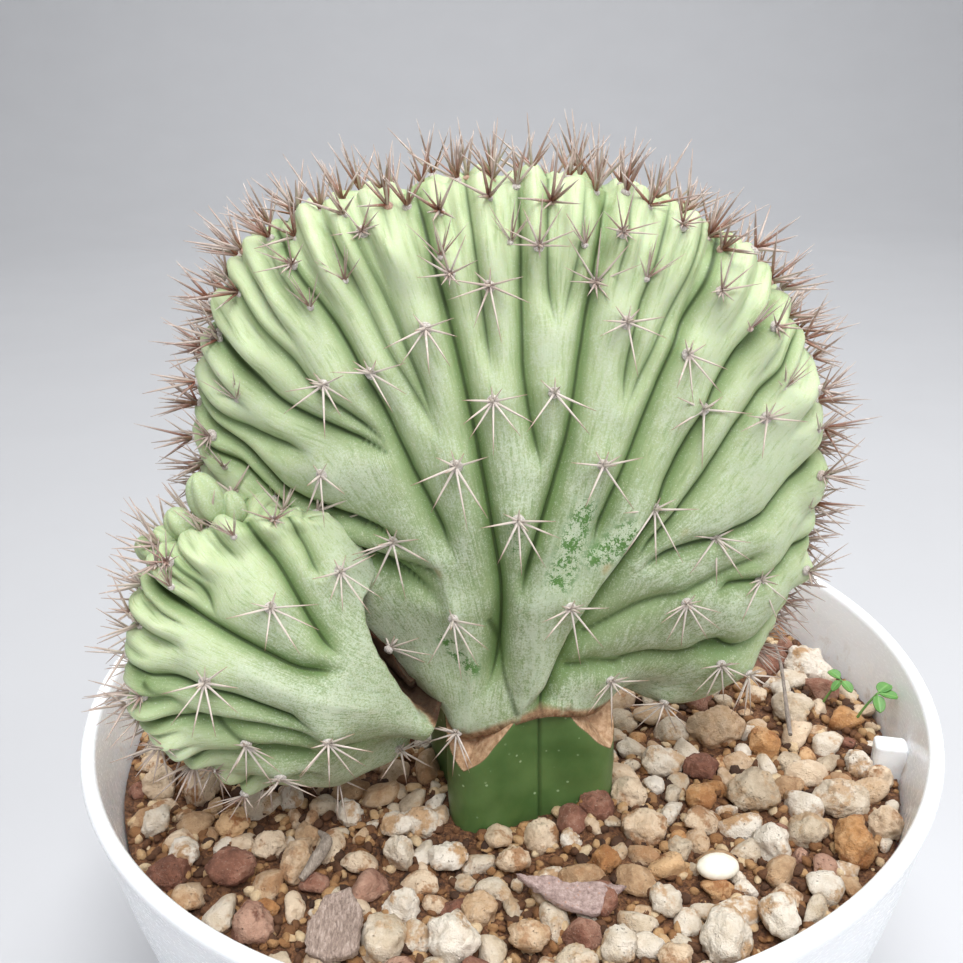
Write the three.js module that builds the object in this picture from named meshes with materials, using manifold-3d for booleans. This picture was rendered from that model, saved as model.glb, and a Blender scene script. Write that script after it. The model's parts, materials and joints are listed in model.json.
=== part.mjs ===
// A potted crested cactus: a fan-shaped scion with a side lobe, grafted on a ribbed rootstock,
// standing in grit with pumice pebbles in a shallow white plastic bowl.
// Millimetres, +Z up. The origin is on the pot's axis, at the surface that the pot stands on.

import * as THREE from 'three'
import { ParametricGeometry } from 'three/addons/geometries/ParametricGeometry.js'
import { mergeVertices } from 'three/addons/utils/BufferGeometryUtils.js'
import Module from 'manifold-3d'

const wasm = await Module()
wasm.setup()

// ---------------------------------------------------------------- driving dimensions

const GAP = 0.35 // clearance between pieces that touch

const RIM_Z = 68
const RIM_R = 71.9
const WALL = 2.4
const FOOT_R = 50
const FOOT_WIDTH = 4
const FOOT_LIFT = 2
const FLOOR_Z = 4.6
const POT_SEGMENTS = 40
const DRAIN_R = 2
const DRAIN_CIRCLE_R = 30
const DRAIN_COUNT = 6

const LUG = { count: 2, firstAngle: -12, width: 4.2, reach: 5.2, top: 61, bottom: 48, bevel: 1.4 }

const SOIL_Z = 56

const STOCK = { x: 3, y: -14, valley: 12.4, ridge: 16.8, ribs: 4, firstRib: -118, foot: 32, top: 73 }
const GRAFT_CUT = { topR: 9.5, lowR: 19.5, drop: 10 }

// Each fan grows from a flat cut base: x is across it, z along its growth and y through it.
// The crest is a superellipse about the centre, between two end angles; start is how far from
// the growth direction the outermost rib of each end sets off.
const MAIN_FAN = {
  base: [3, -14, STOCK.top + GAP],
  ring: [14.2, 13.6],
  lean: 0,
  turn: 0,
  centre: [-2, 2, 35.5],
  half: [46.8, 44.6],
  squareness: 2.45,
  ends: [-37, 217],
  start: [128, 128],
  thickness: 18,
  wander: 2.2,
  ribs: 10,
}
const SIDE_LOBE = {
  base: [-11.5, -22.5, 76.5],
  ring: [7, 8],
  lean: 61,
  turn: 8,
  centre: [0, -1, 25],
  half: [22.5, 22],
  squareness: 2.3,
  ends: [6, 215],
  start: [30, 118],
  thickness: 13.5,
  wander: 1.5,
  ribs: 7,
}

// Spine clusters: share of the crest from the right end, share of the rib from the base, face.
const FRONT = -1
const FACE_CLUSTERS = [
  [MAIN_FAN, 0.51, 0.46],
  [MAIN_FAN, 0.59, 0.56],
  [MAIN_FAN, 0.39, 0.56],
  [MAIN_FAN, 0.46, 0.67],
  [MAIN_FAN, 0.64, 0.74],
  [MAIN_FAN, 0.4, 0.79],
  [MAIN_FAN, 0.3, 0.72],
  [MAIN_FAN, 0.52, 0.83],
  [SIDE_LOBE, 0.48, 0.73],
  [SIDE_LOBE, 0.62, 0.36],
]
const CREST_CLUSTERS = [
  ...[0.08, 0.2, 0.31, 0.41, 0.5, 0.59, 0.69, 0.8].map((w) => [MAIN_FAN, w, 1]),
  ...[0.45, 0.7].map((w) => [SIDE_LOBE, w, 1]),
]
const PAD_R = 1.1
const SPINE = { foot: 0.28, tip: 0.06, sides: 3 }
const CLUSTER_LIFT = PAD_R * 0.6 + 2.5 * GAP

// Pebbles: x, y, three half sizes, turn in degrees, colour.
const CREAM = 0xd9c7a6
const TAN = 0xc79a66
const ORANGE = 0xb87740
const MAROON = 0x7d4f42
const PEBBLES = [
  [-7.8, -51.2, 4.4, 4.2, 3.8, 20, CREAM],
  [29, -51, 3.9, 5.4, 3.4, 8, CREAM],
  [37.2, -47.5, 3.6, 3.3, 3, -30, CREAM],
  [22, -44.2, 2.9, 2.7, 2.4, 40, CREAM],
  [36.4, -5.8, 5.4, 4.8, 4.4, 15, TAN],
  [25.9, -13.6, 4.4, 3.2, 2.9, -12, CREAM],
  [20.7, -30.4, 4.8, 3.6, 3.2, 10, TAN],
  [39.4, -22, 4.6, 4.4, 3.6, -35, CREAM],
  [30.6, -22.6, 2.9, 2.8, 2.6, 25, ORANGE],
  [52.1, 1.6, 4.6, 4.4, 3, 60, CREAM],
  [-16.6, -35, 2.8, 2.8, 3, 0, CREAM],
  [-17.4, -28.2, 3.6, 2.4, 2.3, 15, CREAM],
  [-25.2, -25.6, 3, 2.6, 2.2, -20, CREAM],
  [-9.4, -35.6, 3.6, 2.5, 2.2, 12, CREAM],
  [0.6, -36, 3.1, 2.7, 2.6, -15, TAN],
  [14.2, -36.4, 2.6, 2.4, 2.2, 30, ORANGE],
  [-50.4, -19.6, 3.6, 3.4, 3.4, 35, TAN],
  [-43.4, -27.6, 3.1, 3.1, 2.4, -25, ORANGE],
  [-58, -18.4, 3.1, 3.1, 3, 10, TAN],
  [-55.6, -27.6, 3, 2.9, 2.8, 50, CREAM],
  [-49.4, -34.6, 3.3, 2.8, 2.6, -10, CREAM],
  [-41.2, -37.6, 4.6, 3.2, 2.8, 8, MAROON],
  [-35.4, -48.6, 3.7, 3.5, 3.3, 20, MAROON],
  [14.6, -52.2, 3.1, 2.8, 2.6, 15, CREAM],
  [2.4, -50.4, 3.5, 2.8, 2.6, -8, TAN],
  [21.8, -54.6, 3, 2.6, 2.4, 20, TAN],
  [-36, 26, 4.2, 3.8, 3.4, 15, CREAM],
  [31, 31, 3.8, 4.2, 3.2, -20, TAN],
]
const PEBBLE_LIFT = 0.4 // how far a pebble's middle is above the grit, as a share of its half height

const PELLET = { at: [30.4, -38.6, SOIL_Z + 1.6], half: [3.3, 2.4, 1.6], turn: 6 }

// Seedlings: the stem's route, and each leaf's place from the stem's top and its turn.
const SEEDLINGS = [
  {
    stem: [
      [62, -2, SOIL_Z + 0.6],
      [63.4, -3, SOIL_Z + 4],
      [65, -3.4, SOIL_Z + 7],
    ],
    leaves: [
      [1.4, 1.6, 0.5, 40],
      [1.9, -1.2, 0.2, -20],
      [-1.6, -0.6, 0.4, 10],
    ],
  },
  {
    stem: [
      [58, 3.6, SOIL_Z + 0.6],
      [59, 2.8, SOIL_Z + 3],
      [60.6, 2.4, SOIL_Z + 6],
    ],
    leaves: [
      [1.5, -1, 0.3, -30],
      [-1.5, 0.6, 0.4, 20],
      [0.2, 1.6, 0.4, 80],
    ],
  },
]
const LEAF = { half: [1.6, 1.15, 0.35] }

// ---------------------------------------------------------------- helpers

const group = new THREE.Group()
const deg = THREE.MathUtils.degToRad

function material(colour, roughness, metalness = 0) {
  return new THREE.MeshStandardMaterial({ color: colour, roughness, metalness })
}

function addPiece(name, geometry, look) {
  const mesh = new THREE.Mesh(geometry, look)
  mesh.name = name
  group.add(mesh)
  return mesh
}

// A closed geometry as a solid that can be joined and cut.
function solidOf(geometry) {
  const bare = geometry.clone()
  bare.deleteAttribute('normal')
  bare.deleteAttribute('uv')
  const merged = mergeVertices(bare, 1e-3)
  const index = merged.index.array
  const corners = []
  for (let i = 0; i < index.length; i += 3) {
    const [a, b, c] = [index[i], index[i + 1], index[i + 2]]
    if (a !== b && b !== c && a !== c) corners.push(a, b, c)
  }
  const vertProperties = new Float32Array(merged.attributes.position.array)
  return new wasm.Manifold(
    new wasm.Mesh({ numProp: 3, vertProperties, triVerts: new Uint32Array(corners) }),
  )
}

function geometryOf(solid) {
  const mesh = solid.getMesh()
  const geometry = new THREE.BufferGeometry()
  geometry.setAttribute('position', new THREE.BufferAttribute(mesh.vertProperties, 3))
  geometry.setIndex(new THREE.BufferAttribute(mesh.triVerts, 1))
  geometry.computeVertexNormals()
  return geometry
}

function joined(solids) {
  return solids.reduce((whole, piece) => whole.add(piece))
}

// A profile of [radius, height] pairs turned round the upright axis.
function turned(pairs, segments) {
  return new THREE.LatheGeometry(points(pairs), segments).rotateX(Math.PI / 2)
}

function points(pairs) {
  return pairs.map(([x, y]) => new THREE.Vector2(x, y))
}

function smooth(t) {
  const k = Math.min(Math.max(t, 0), 1)
  return k * k * (3 - 2 * k)
}

// ---------------------------------------------------------------- pot

// The bowl's outer radius at a height above the table.
function potRadius(z) {
  const depth = RIM_Z - z
  return RIM_R - 0.15 * depth - 3.4e-5 * depth ** 3
}

function potProfile() {
  const outside = [9, 22, 38, 54].map((z) => [potRadius(z), z])
  const inside = [54, 38, 22, 11].map((z) => [potRadius(z) - WALL, z])
  const lip = [
    [RIM_R - 0.1, RIM_Z - 1],
    [RIM_R - WALL / 2, RIM_Z],
    [RIM_R - WALL, RIM_Z - 1],
  ]
  return [
    [0, FOOT_LIFT],
    [FOOT_R - FOOT_WIDTH, FOOT_LIFT],
    [FOOT_R - FOOT_WIDTH, 0],
    [FOOT_R, 0],
    [FOOT_R + 2.6, 3],
    ...outside,
    ...lip,
    ...inside,
    [FOOT_R - 1.5, FLOOR_Z + 1.4],
    [FOOT_R - 5, FLOOR_Z],
    [0, FLOOR_Z],
  ]
}

function lugSolid(index, grow) {
  const { count, firstAngle, width, reach, top, bottom, bevel } = LUG
  const outer = RIM_R - WALL - 0.8
  const inner = outer - reach - grow
  const side = new THREE.Shape(
    points([
      [inner, bottom - grow],
      [outer, bottom - grow],
      [outer, top + grow],
      [inner + bevel, top + grow],
      [inner, top + grow - bevel],
    ]),
  )
  const block = new THREE.ExtrudeGeometry(side, { depth: width + 2 * grow, bevelEnabled: false })
  block.translate(0, 0, -width / 2 - grow)
  block.rotateX(Math.PI / 2)
  block.rotateZ(deg(firstAngle + (360 / count) * index))
  return solidOf(block)
}

function drainSolid(index) {
  const plug = new THREE.CylinderGeometry(DRAIN_R, DRAIN_R, 12, 10)
  const angle = (2 * Math.PI * index) / DRAIN_COUNT
  plug.rotateX(Math.PI / 2)
  plug.translate(DRAIN_CIRCLE_R * Math.cos(angle), DRAIN_CIRCLE_R * Math.sin(angle), FLOOR_Z / 2)
  return solidOf(plug)
}

// The outside of the bowl as a plain block, which trims the lugs to its curved wall.
function potBlock() {
  const profile = [30, 44, 55, 66].map((z) => [potRadius(z) - WALL / 2, z])
  return solidOf(turned([[0, 30], ...profile, [0, 66]], POT_SEGMENTS))
}

function pot() {
  const lugs = Array.from({ length: LUG.count }, (_, i) => lugSolid(i, 0).intersect(potBlock()))
  const drains = Array.from({ length: DRAIN_COUNT }, (_, i) => drainSolid(i))
  const bowl = solidOf(turned(potProfile(), POT_SEGMENTS))
  addPiece('pot', geometryOf(bowl.add(joined(lugs)).subtract(joined(drains))), material(0xf2f3f5, 0.28))
}

// ---------------------------------------------------------------- rootstock

function stockOutline(grow) {
  const outline = []
  const steps = 36
  for (let i = 0; i < steps; i++) {
    const angle = (2 * Math.PI * i) / steps
    const wave = 0.5 + 0.5 * Math.cos(STOCK.ribs * (angle - deg(STOCK.firstRib)))
    const radius = STOCK.valley + (STOCK.ridge - STOCK.valley) * wave + grow
    outline.push([radius * Math.cos(angle), radius * Math.sin(angle)])
  }
  return new THREE.Shape(points(outline))
}

function stockSolid(grow) {
  const depth = STOCK.top - STOCK.foot + 2 * grow
  const column = new THREE.ExtrudeGeometry(stockOutline(grow), { depth, bevelEnabled: false })
  column.translate(STOCK.x, STOCK.y, STOCK.foot - grow)
  const { topR, lowR, drop } = GRAFT_CUT
  const cut = [
    [0, STOCK.foot - grow - 1],
    [lowR + grow, STOCK.foot - grow - 1],
    [lowR + grow, STOCK.top - drop + grow],
    [topR + grow, STOCK.top + grow],
    [0, STOCK.top + grow],
  ]
  const cone = turned(cut, 32).translate(STOCK.x, STOCK.y, 0)
  return solidOf(column).intersect(solidOf(cone))
}

function rootstock() {
  addPiece('rootstock', geometryOf(stockSolid(0)), material(0x3f6b35, 0.5))
}

// ---------------------------------------------------------------- crested scion

// The point of the crest at a share w of its length, from the right end (0) to the left (1).
function crestPoint(fan, w) {
  const angle = deg(fan.ends[0] + (fan.ends[1] - fan.ends[0]) * w)
  const across = Math.abs(Math.cos(angle) / fan.half[0]) ** fan.squareness
  const along = Math.abs(Math.sin(angle) / fan.half[1]) ** fan.squareness
  const reach = (across + along) ** (-1 / fan.squareness)
  return [fan.centre[0] + reach * Math.cos(angle), fan.centre[2] + reach * Math.sin(angle)]
}

// A point of a fan's skin: w runs along the crest, s up a rib from the base ring (0) to the
// crest (1), and side is -1 on the front face and 1 on the back.
function fanPoint(fan, w, s, side) {
  const ringX = fan.ring[0] * Math.cos(Math.PI * w)
  const round = Math.sin(Math.PI * w)
  const [crestX, crestZ] = crestPoint(fan, w)
  const off = 1 - 2 * w
  const start = deg(90 - fan.start[w < 0.5 ? 0 : 1] * off ** 3)
  const pull = (0.5 + 0.3 * Math.abs(off) ** 3) * Math.hypot(crestX - ringX, crestZ)
  const bendX = ringX + pull * Math.cos(start)
  const bendZ = pull * Math.sin(start)
  const [a, b, c] = [(1 - s) ** 2, 2 * s * (1 - s), s ** 2]
  const x = a * ringX + b * bendX + c * crestX
  const z = b * bendZ + c * crestZ
  const body = fan.thickness * round ** 0.6
  const neck = fan.ring[1] * round
  const groove = 1 - Math.abs(Math.cos(Math.PI * fan.ribs * w))
  const pleat = 1 - 0.11 * groove * smooth(s / 0.15)
  const edge = (1 - s ** 2.5) ** (1 / 2.5)
  const half = (neck + (body - neck) * smooth(s / 0.5)) * edge * pleat
  const sway = fan.centre[1] * s + fan.wander * s * Math.sin(2.5 * Math.PI * w)
  const local = new THREE.Vector3(x, sway + side * half, z)
  local.applyAxisAngle(new THREE.Vector3(0, 1, 0), deg(-fan.lean))
  local.applyAxisAngle(new THREE.Vector3(0, 0, 1), deg(fan.turn))
  return local.add(new THREE.Vector3(...fan.base))
}

// The whole closed skin, with the flat cut base as its first rows.
function fanSolid(fan, columns, rows) {
  const cap = 2 / rows
  const skin = (u, v, target) => {
    const side = u < 0.5 ? 1 : -1
    const w = u < 0.5 ? 2 * u : 2 - 2 * u
    const t = Math.max((v - cap) / (1 - cap), 0)
    const onRing = fanPoint(fan, w, 1 - (1 - t) ** 1.8, side)
    const middle = new THREE.Vector3(...fan.base)
    target.copy(middle.lerp(onRing, Math.min(v / cap, 1)))
  }
  return solidOf(new ParametricGeometry(skin, columns, rows))
}

function crestedScion() {
  const plant = fanSolid(MAIN_FAN, 80, 17).add(fanSolid(SIDE_LOBE, 36, 12))
  addPiece('crested_scion', geometryOf(plant.subtract(stockSolid(GAP))), material(0x8fb07a, 0.6))
}

// The direction that a fan's skin faces at a point; at the crest both faces share it.
function fanNormal(fan, w, s, side) {
  const step = 0.004
  const at = Math.min(s, 0.97)
  const alongCrest = fanPoint(fan, w + step, at, side).sub(fanPoint(fan, w - step, at, side))
  const alongRib = fanPoint(fan, w, at + step, side).sub(fanPoint(fan, w, at - step, side))
  return alongCrest.cross(alongRib).multiplyScalar(side).normalize()
}

// ---------------------------------------------------------------- spines

// A tapering needle of a length, from the pad's middle, tilted from the outward axis.
function needle(length, tilt, around) {
  const { foot, tip, sides } = SPINE
  const cone = new THREE.CylinderGeometry(tip, foot, length, sides)
  cone.translate(0, length / 2, 0)
  cone.rotateX(Math.PI / 2 - tilt)
  cone.rotateZ(around)
  return solidOf(cone)
}

function clusterGeometry(needleCount, length, tilt) {
  const pad = solidOf(new THREE.SphereGeometry(PAD_R, 5, 3).scale(1, 1, 0.6))
  const needles = [needle(length * 0.9, 0.1, 0)]
  for (let i = 0; i < needleCount; i++) {
    const around = (2 * Math.PI * i) / needleCount + 0.2
    needles.push(needle(length * (0.85 + 0.15 * Math.cos(around)), tilt, around))
  }
  return geometryOf(joined([pad, ...needles]))
}

function spineClusters() {
  const look = material(0xb9a99a, 0.55)
  const outward = new THREE.Vector3(0, 0, 1)
  const clusters = [...FACE_CLUSTERS, ...CREST_CLUSTERS]
  clusters.forEach(([fan, w, s], i) => {
    const onCrest = s === 1
    const normal = fanNormal(fan, w, s, FRONT)
    if (onCrest) normal.add(fanNormal(fan, w, s, -FRONT)).normalize()
    const shape = onCrest ? clusterGeometry(4, 6, deg(35)) : clusterGeometry(5, 5.6, deg(62))
    const mesh = addPiece(`spine_cluster_${String(i + 1).padStart(2, '0')}`, shape, look)
    mesh.position.copy(fanPoint(fan, w, s, FRONT)).addScaledVector(normal, CLUSTER_LIFT)
    mesh.quaternion.setFromUnitVectors(outward, normal)
  })
}

// ---------------------------------------------------------------- pebbles and litter

// A rounded lump: a ball of flat facets whose radius changes smoothly with direction.
function lumpGeometry(halfSizes, seed, grow) {
  const lump = new THREE.IcosahedronGeometry(1, 1)
  const position = lump.attributes.position
  const spot = new THREE.Vector3()
  for (let i = 0; i < position.count; i++) {
    spot.fromBufferAttribute(position, i).normalize()
    const across = Math.sin(3.1 * spot.x + seed) + Math.sin(2.7 * spot.y + 2 * seed)
    const upright = Math.sin(3.3 * spot.z + 3 * seed)
    spot.multiplyScalar(0.94 + 0.05 * (across + upright))
    position.setXYZ(i, ...spot.toArray().map((value, axis) => value * (halfSizes[axis] + grow)))
  }
  return lump
}

function pebblePlace(pebble, index, grow) {
  const [x, y, rx, ry, rz, turn] = pebble
  const lump = lumpGeometry([rx, ry, rz], index, grow)
  lump.rotateZ(deg(turn))
  return lump.translate(x, y, SOIL_Z + PEBBLE_LIFT * rz)
}

function pebbles() {
  PEBBLES.forEach((pebble, i) => {
    const name = `pebble_${String(i + 1).padStart(2, '0')}`
    addPiece(name, geometryOf(solidOf(pebblePlace(pebble, i, 0))), material(pebble[6], 0.85))
  })
}

function pelletGeometry(grow) {
  const [rx, ry, rz] = PELLET.half
  const ball = new THREE.SphereGeometry(1, 12, 7).rotateX(Math.PI / 2)
  return ball.scale(rx + grow, ry + grow, rz + grow).rotateZ(deg(PELLET.turn)).translate(...PELLET.at)
}

function whitePellet() {
  addPiece('white_pellet', geometryOf(solidOf(pelletGeometry(0))), material(0xf0eee6, 0.5))
}

// A thin flat flake from its outline, laid tilted on the grit.
function flake(name, outline, thickness, place, tilt, look) {
  const shape = new THREE.Shape(points(outline))
  const slab = new THREE.ExtrudeGeometry(shape, { depth: thickness, bevelEnabled: false })
  const mesh = addPiece(name, geometryOf(solidOf(slab)), look)
  mesh.position.set(...place)
  mesh.rotation.set(...tilt.map(deg))
}

// A thin round or flat strand along a hand-laid route.
function strand(route, section, steps) {
  const path = new THREE.CatmullRomCurve3(route.map((place) => new THREE.Vector3(...place)))
  const tube = new THREE.ExtrudeGeometry(section, { extrudePath: path, steps, bevelEnabled: false })
  return solidOf(tube)
}

function roundSection(radius, sides) {
  const corners = Array.from({ length: sides }, (_, i) => {
    const angle = (2 * Math.PI * i) / sides
    return [radius * Math.cos(angle), radius * Math.sin(angle)]
  })
  return new THREE.Shape(points(corners))
}

function litter() {
  const mauve = [
    [-8.2, 1.6],
    [-3, 2.4],
    [8, 2.2],
    [3.4, -2.6],
    [-0.6, -2.2],
  ]
  const fibrous = [
    [-4, -2.6],
    [-1.5, -5.2],
    [3, -4.4],
    [4.2, 0.6],
    [3, 5],
    [-0.6, 4.2],
    [-3.4, 1.4],
  ]
  flake('bark_flake_1', mauve, 1.2, [8.6, -44.2, SOIL_Z + 1.2], [14, 6, -4], material(0x93827d, 0.9))
  flake('bark_flake_2', fibrous, 1.6, [-24, -50, SOIL_Z + 1.6], [18, -8, 12], material(0x85796f, 0.9))

  const curl = [
    [-30.4, -40.6, SOIL_Z + 1.6],
    [-28.6, -37.6, SOIL_Z + 2.6],
    [-27.6, -34.2, SOIL_Z + 2.8],
    [-29.2, -31.4, SOIL_Z + 2.2],
  ]
  addPiece('dry_strip', geometryOf(strand(curl, roundSection(0.8, 6), 6)), material(0x9a8f84, 0.9))
  const twig = [
    [50.6, 10.6, SOIL_Z + 8.6],
    [50, 1, SOIL_Z + 6.6],
    [48.4, -10, SOIL_Z + 3.4],
  ]
  addPiece('twig', geometryOf(strand(twig, roundSection(0.5, 6), 6)), material(0x8c8078, 0.85))
}

function seedlings() {
  SEEDLINGS.forEach(({ stem, leaves }, i) => {
    const [topX, topY, topZ] = stem[stem.length - 1]
    const blades = leaves.map(([dx, dy, dz, turn]) => {
      const blade = new THREE.SphereGeometry(1, 6, 4).rotateX(Math.PI / 2)
      blade.scale(...LEAF.half).rotateZ(deg(turn))
      return solidOf(blade.translate(topX + dx, topY + dy, topZ + dz))
    })
    const stalk = strand(stem, roundSection(0.4, 5), 5)
    const bud = solidOf(new THREE.SphereGeometry(0.9, 6, 4).translate(topX, topY, topZ))
    addPiece(`seedling_${i + 1}`, geometryOf(joined([stalk, bud, ...blades])), material(0x5fae4c, 0.45))
  })
}

// ---------------------------------------------------------------- grit

// The filling: it fits the bowl with a gap, and has a pocket for everything that is set in it.
function grit() {
  const wallGap = WALL + GAP
  const sides = [11, 22, 38].map((z) => [potRadius(z) - wallGap, z])
  const profile = [
    [0, FLOOR_Z + GAP],
    [FOOT_R - 6, FLOOR_Z + GAP],
    [FOOT_R - 2, FLOOR_Z + GAP + 1.6],
    ...sides,
    [potRadius(SOIL_Z) - wallGap, SOIL_Z - 0.4],
    [potRadius(SOIL_Z) - 12, SOIL_Z],
    [0, SOIL_Z],
  ]
  const pockets = PEBBLES.map((pebble, i) => solidOf(pebblePlace(pebble, i, GAP)))
  const lugs = Array.from({ length: LUG.count }, (_, i) => lugSolid(i, GAP))
  const filling = solidOf(turned(profile, POT_SEGMENTS))
  const cuts = joined([stockSolid(GAP), ...lugs, ...pockets])
  addPiece('grit', geometryOf(filling.subtract(cuts)), material(0x6e4a34, 0.95))
}

pot()
grit()
rootstock()
crestedScion()
spineClusters()
pebbles()
whitePellet()
litter()
seedlings()

export default group
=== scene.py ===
"""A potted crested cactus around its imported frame.

A fan-shaped scion and its side lobe stand on a ribbed rootstock, in a shallow white bowl of
grit and pumice. Sizes are in millimetres until they go into a mesh, which is in metres.
"""

import json
import math
import random

import bpy
import numpy as np
from mathutils import Matrix, Vector, noise


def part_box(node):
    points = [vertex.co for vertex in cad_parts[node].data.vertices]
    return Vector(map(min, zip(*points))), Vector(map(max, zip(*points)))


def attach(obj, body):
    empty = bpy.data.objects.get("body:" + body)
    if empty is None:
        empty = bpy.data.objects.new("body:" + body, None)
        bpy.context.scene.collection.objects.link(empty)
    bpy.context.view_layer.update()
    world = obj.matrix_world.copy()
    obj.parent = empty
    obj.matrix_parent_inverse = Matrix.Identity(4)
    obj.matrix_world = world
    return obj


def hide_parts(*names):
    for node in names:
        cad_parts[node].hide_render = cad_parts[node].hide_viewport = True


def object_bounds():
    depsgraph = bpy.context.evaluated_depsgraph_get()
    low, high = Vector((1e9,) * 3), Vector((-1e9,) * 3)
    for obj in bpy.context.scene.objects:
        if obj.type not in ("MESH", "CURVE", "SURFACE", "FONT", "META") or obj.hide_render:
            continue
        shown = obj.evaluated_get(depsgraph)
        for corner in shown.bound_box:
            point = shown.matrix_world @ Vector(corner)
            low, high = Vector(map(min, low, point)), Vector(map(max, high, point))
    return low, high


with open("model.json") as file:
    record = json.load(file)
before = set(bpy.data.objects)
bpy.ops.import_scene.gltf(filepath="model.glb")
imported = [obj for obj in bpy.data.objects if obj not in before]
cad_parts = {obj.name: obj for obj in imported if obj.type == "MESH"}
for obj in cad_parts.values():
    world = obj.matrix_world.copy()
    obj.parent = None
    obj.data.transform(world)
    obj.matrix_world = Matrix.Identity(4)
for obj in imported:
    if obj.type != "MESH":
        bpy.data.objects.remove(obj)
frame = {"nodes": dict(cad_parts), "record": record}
cad_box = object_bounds()

MM = 0.001
TURN = 2 * math.pi
SLOTS = {part["node"]: part["material_slot"] for part in frame["record"]["subparts"]}


def corners(node):
    """The lowest and highest corner of a CAD node, in millimetres."""
    low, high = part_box(node)
    return Vector(low) / MM, Vector(high) / MM


# ---------------------------------------------------------------- driving sizes

POT_HIGH = corners("pot")[1]
RIM_Z = POT_HIGH.z
RIM_R = POT_HIGH.x
WALL = 2.4
FOOT_R = 50
FOOT_WIDTH = 4
FOOT_LIFT = 2
FLOOR_Z = 4.6
POT_STEPS = 160
DRAIN_R = 2
DRAIN_CIRCLE_R = 30
DRAIN_COUNT = 6
LUG_ANGLES = (-12, 168)
LUG_SIZE = (5.2, 3.8, 12.4)
LUG_TOP = 60.4

SOIL_Z = corners("grit")[1].z
SOIL_R = corners("grit")[1].x
HEAP_X, HEAP_Y, HEAP_R = 13, -26, 6
HEAP_HEIGHT = 2.4

STOCK_X = 1.8
STOCK_Y = -14
STOCK_TOP = corners("rootstock")[1].z
STOCK_VALLEY = 12.4
STOCK_RIDGE = 16.8
STOCK_RIBS = 4
STOCK_FIRST_RIB = math.radians(-121)
CUT_TOP_R = 9.5
CUT_LOW_R = 19.5
CUT_DROP = 10

FRONT = -1
BACK = 1

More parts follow.
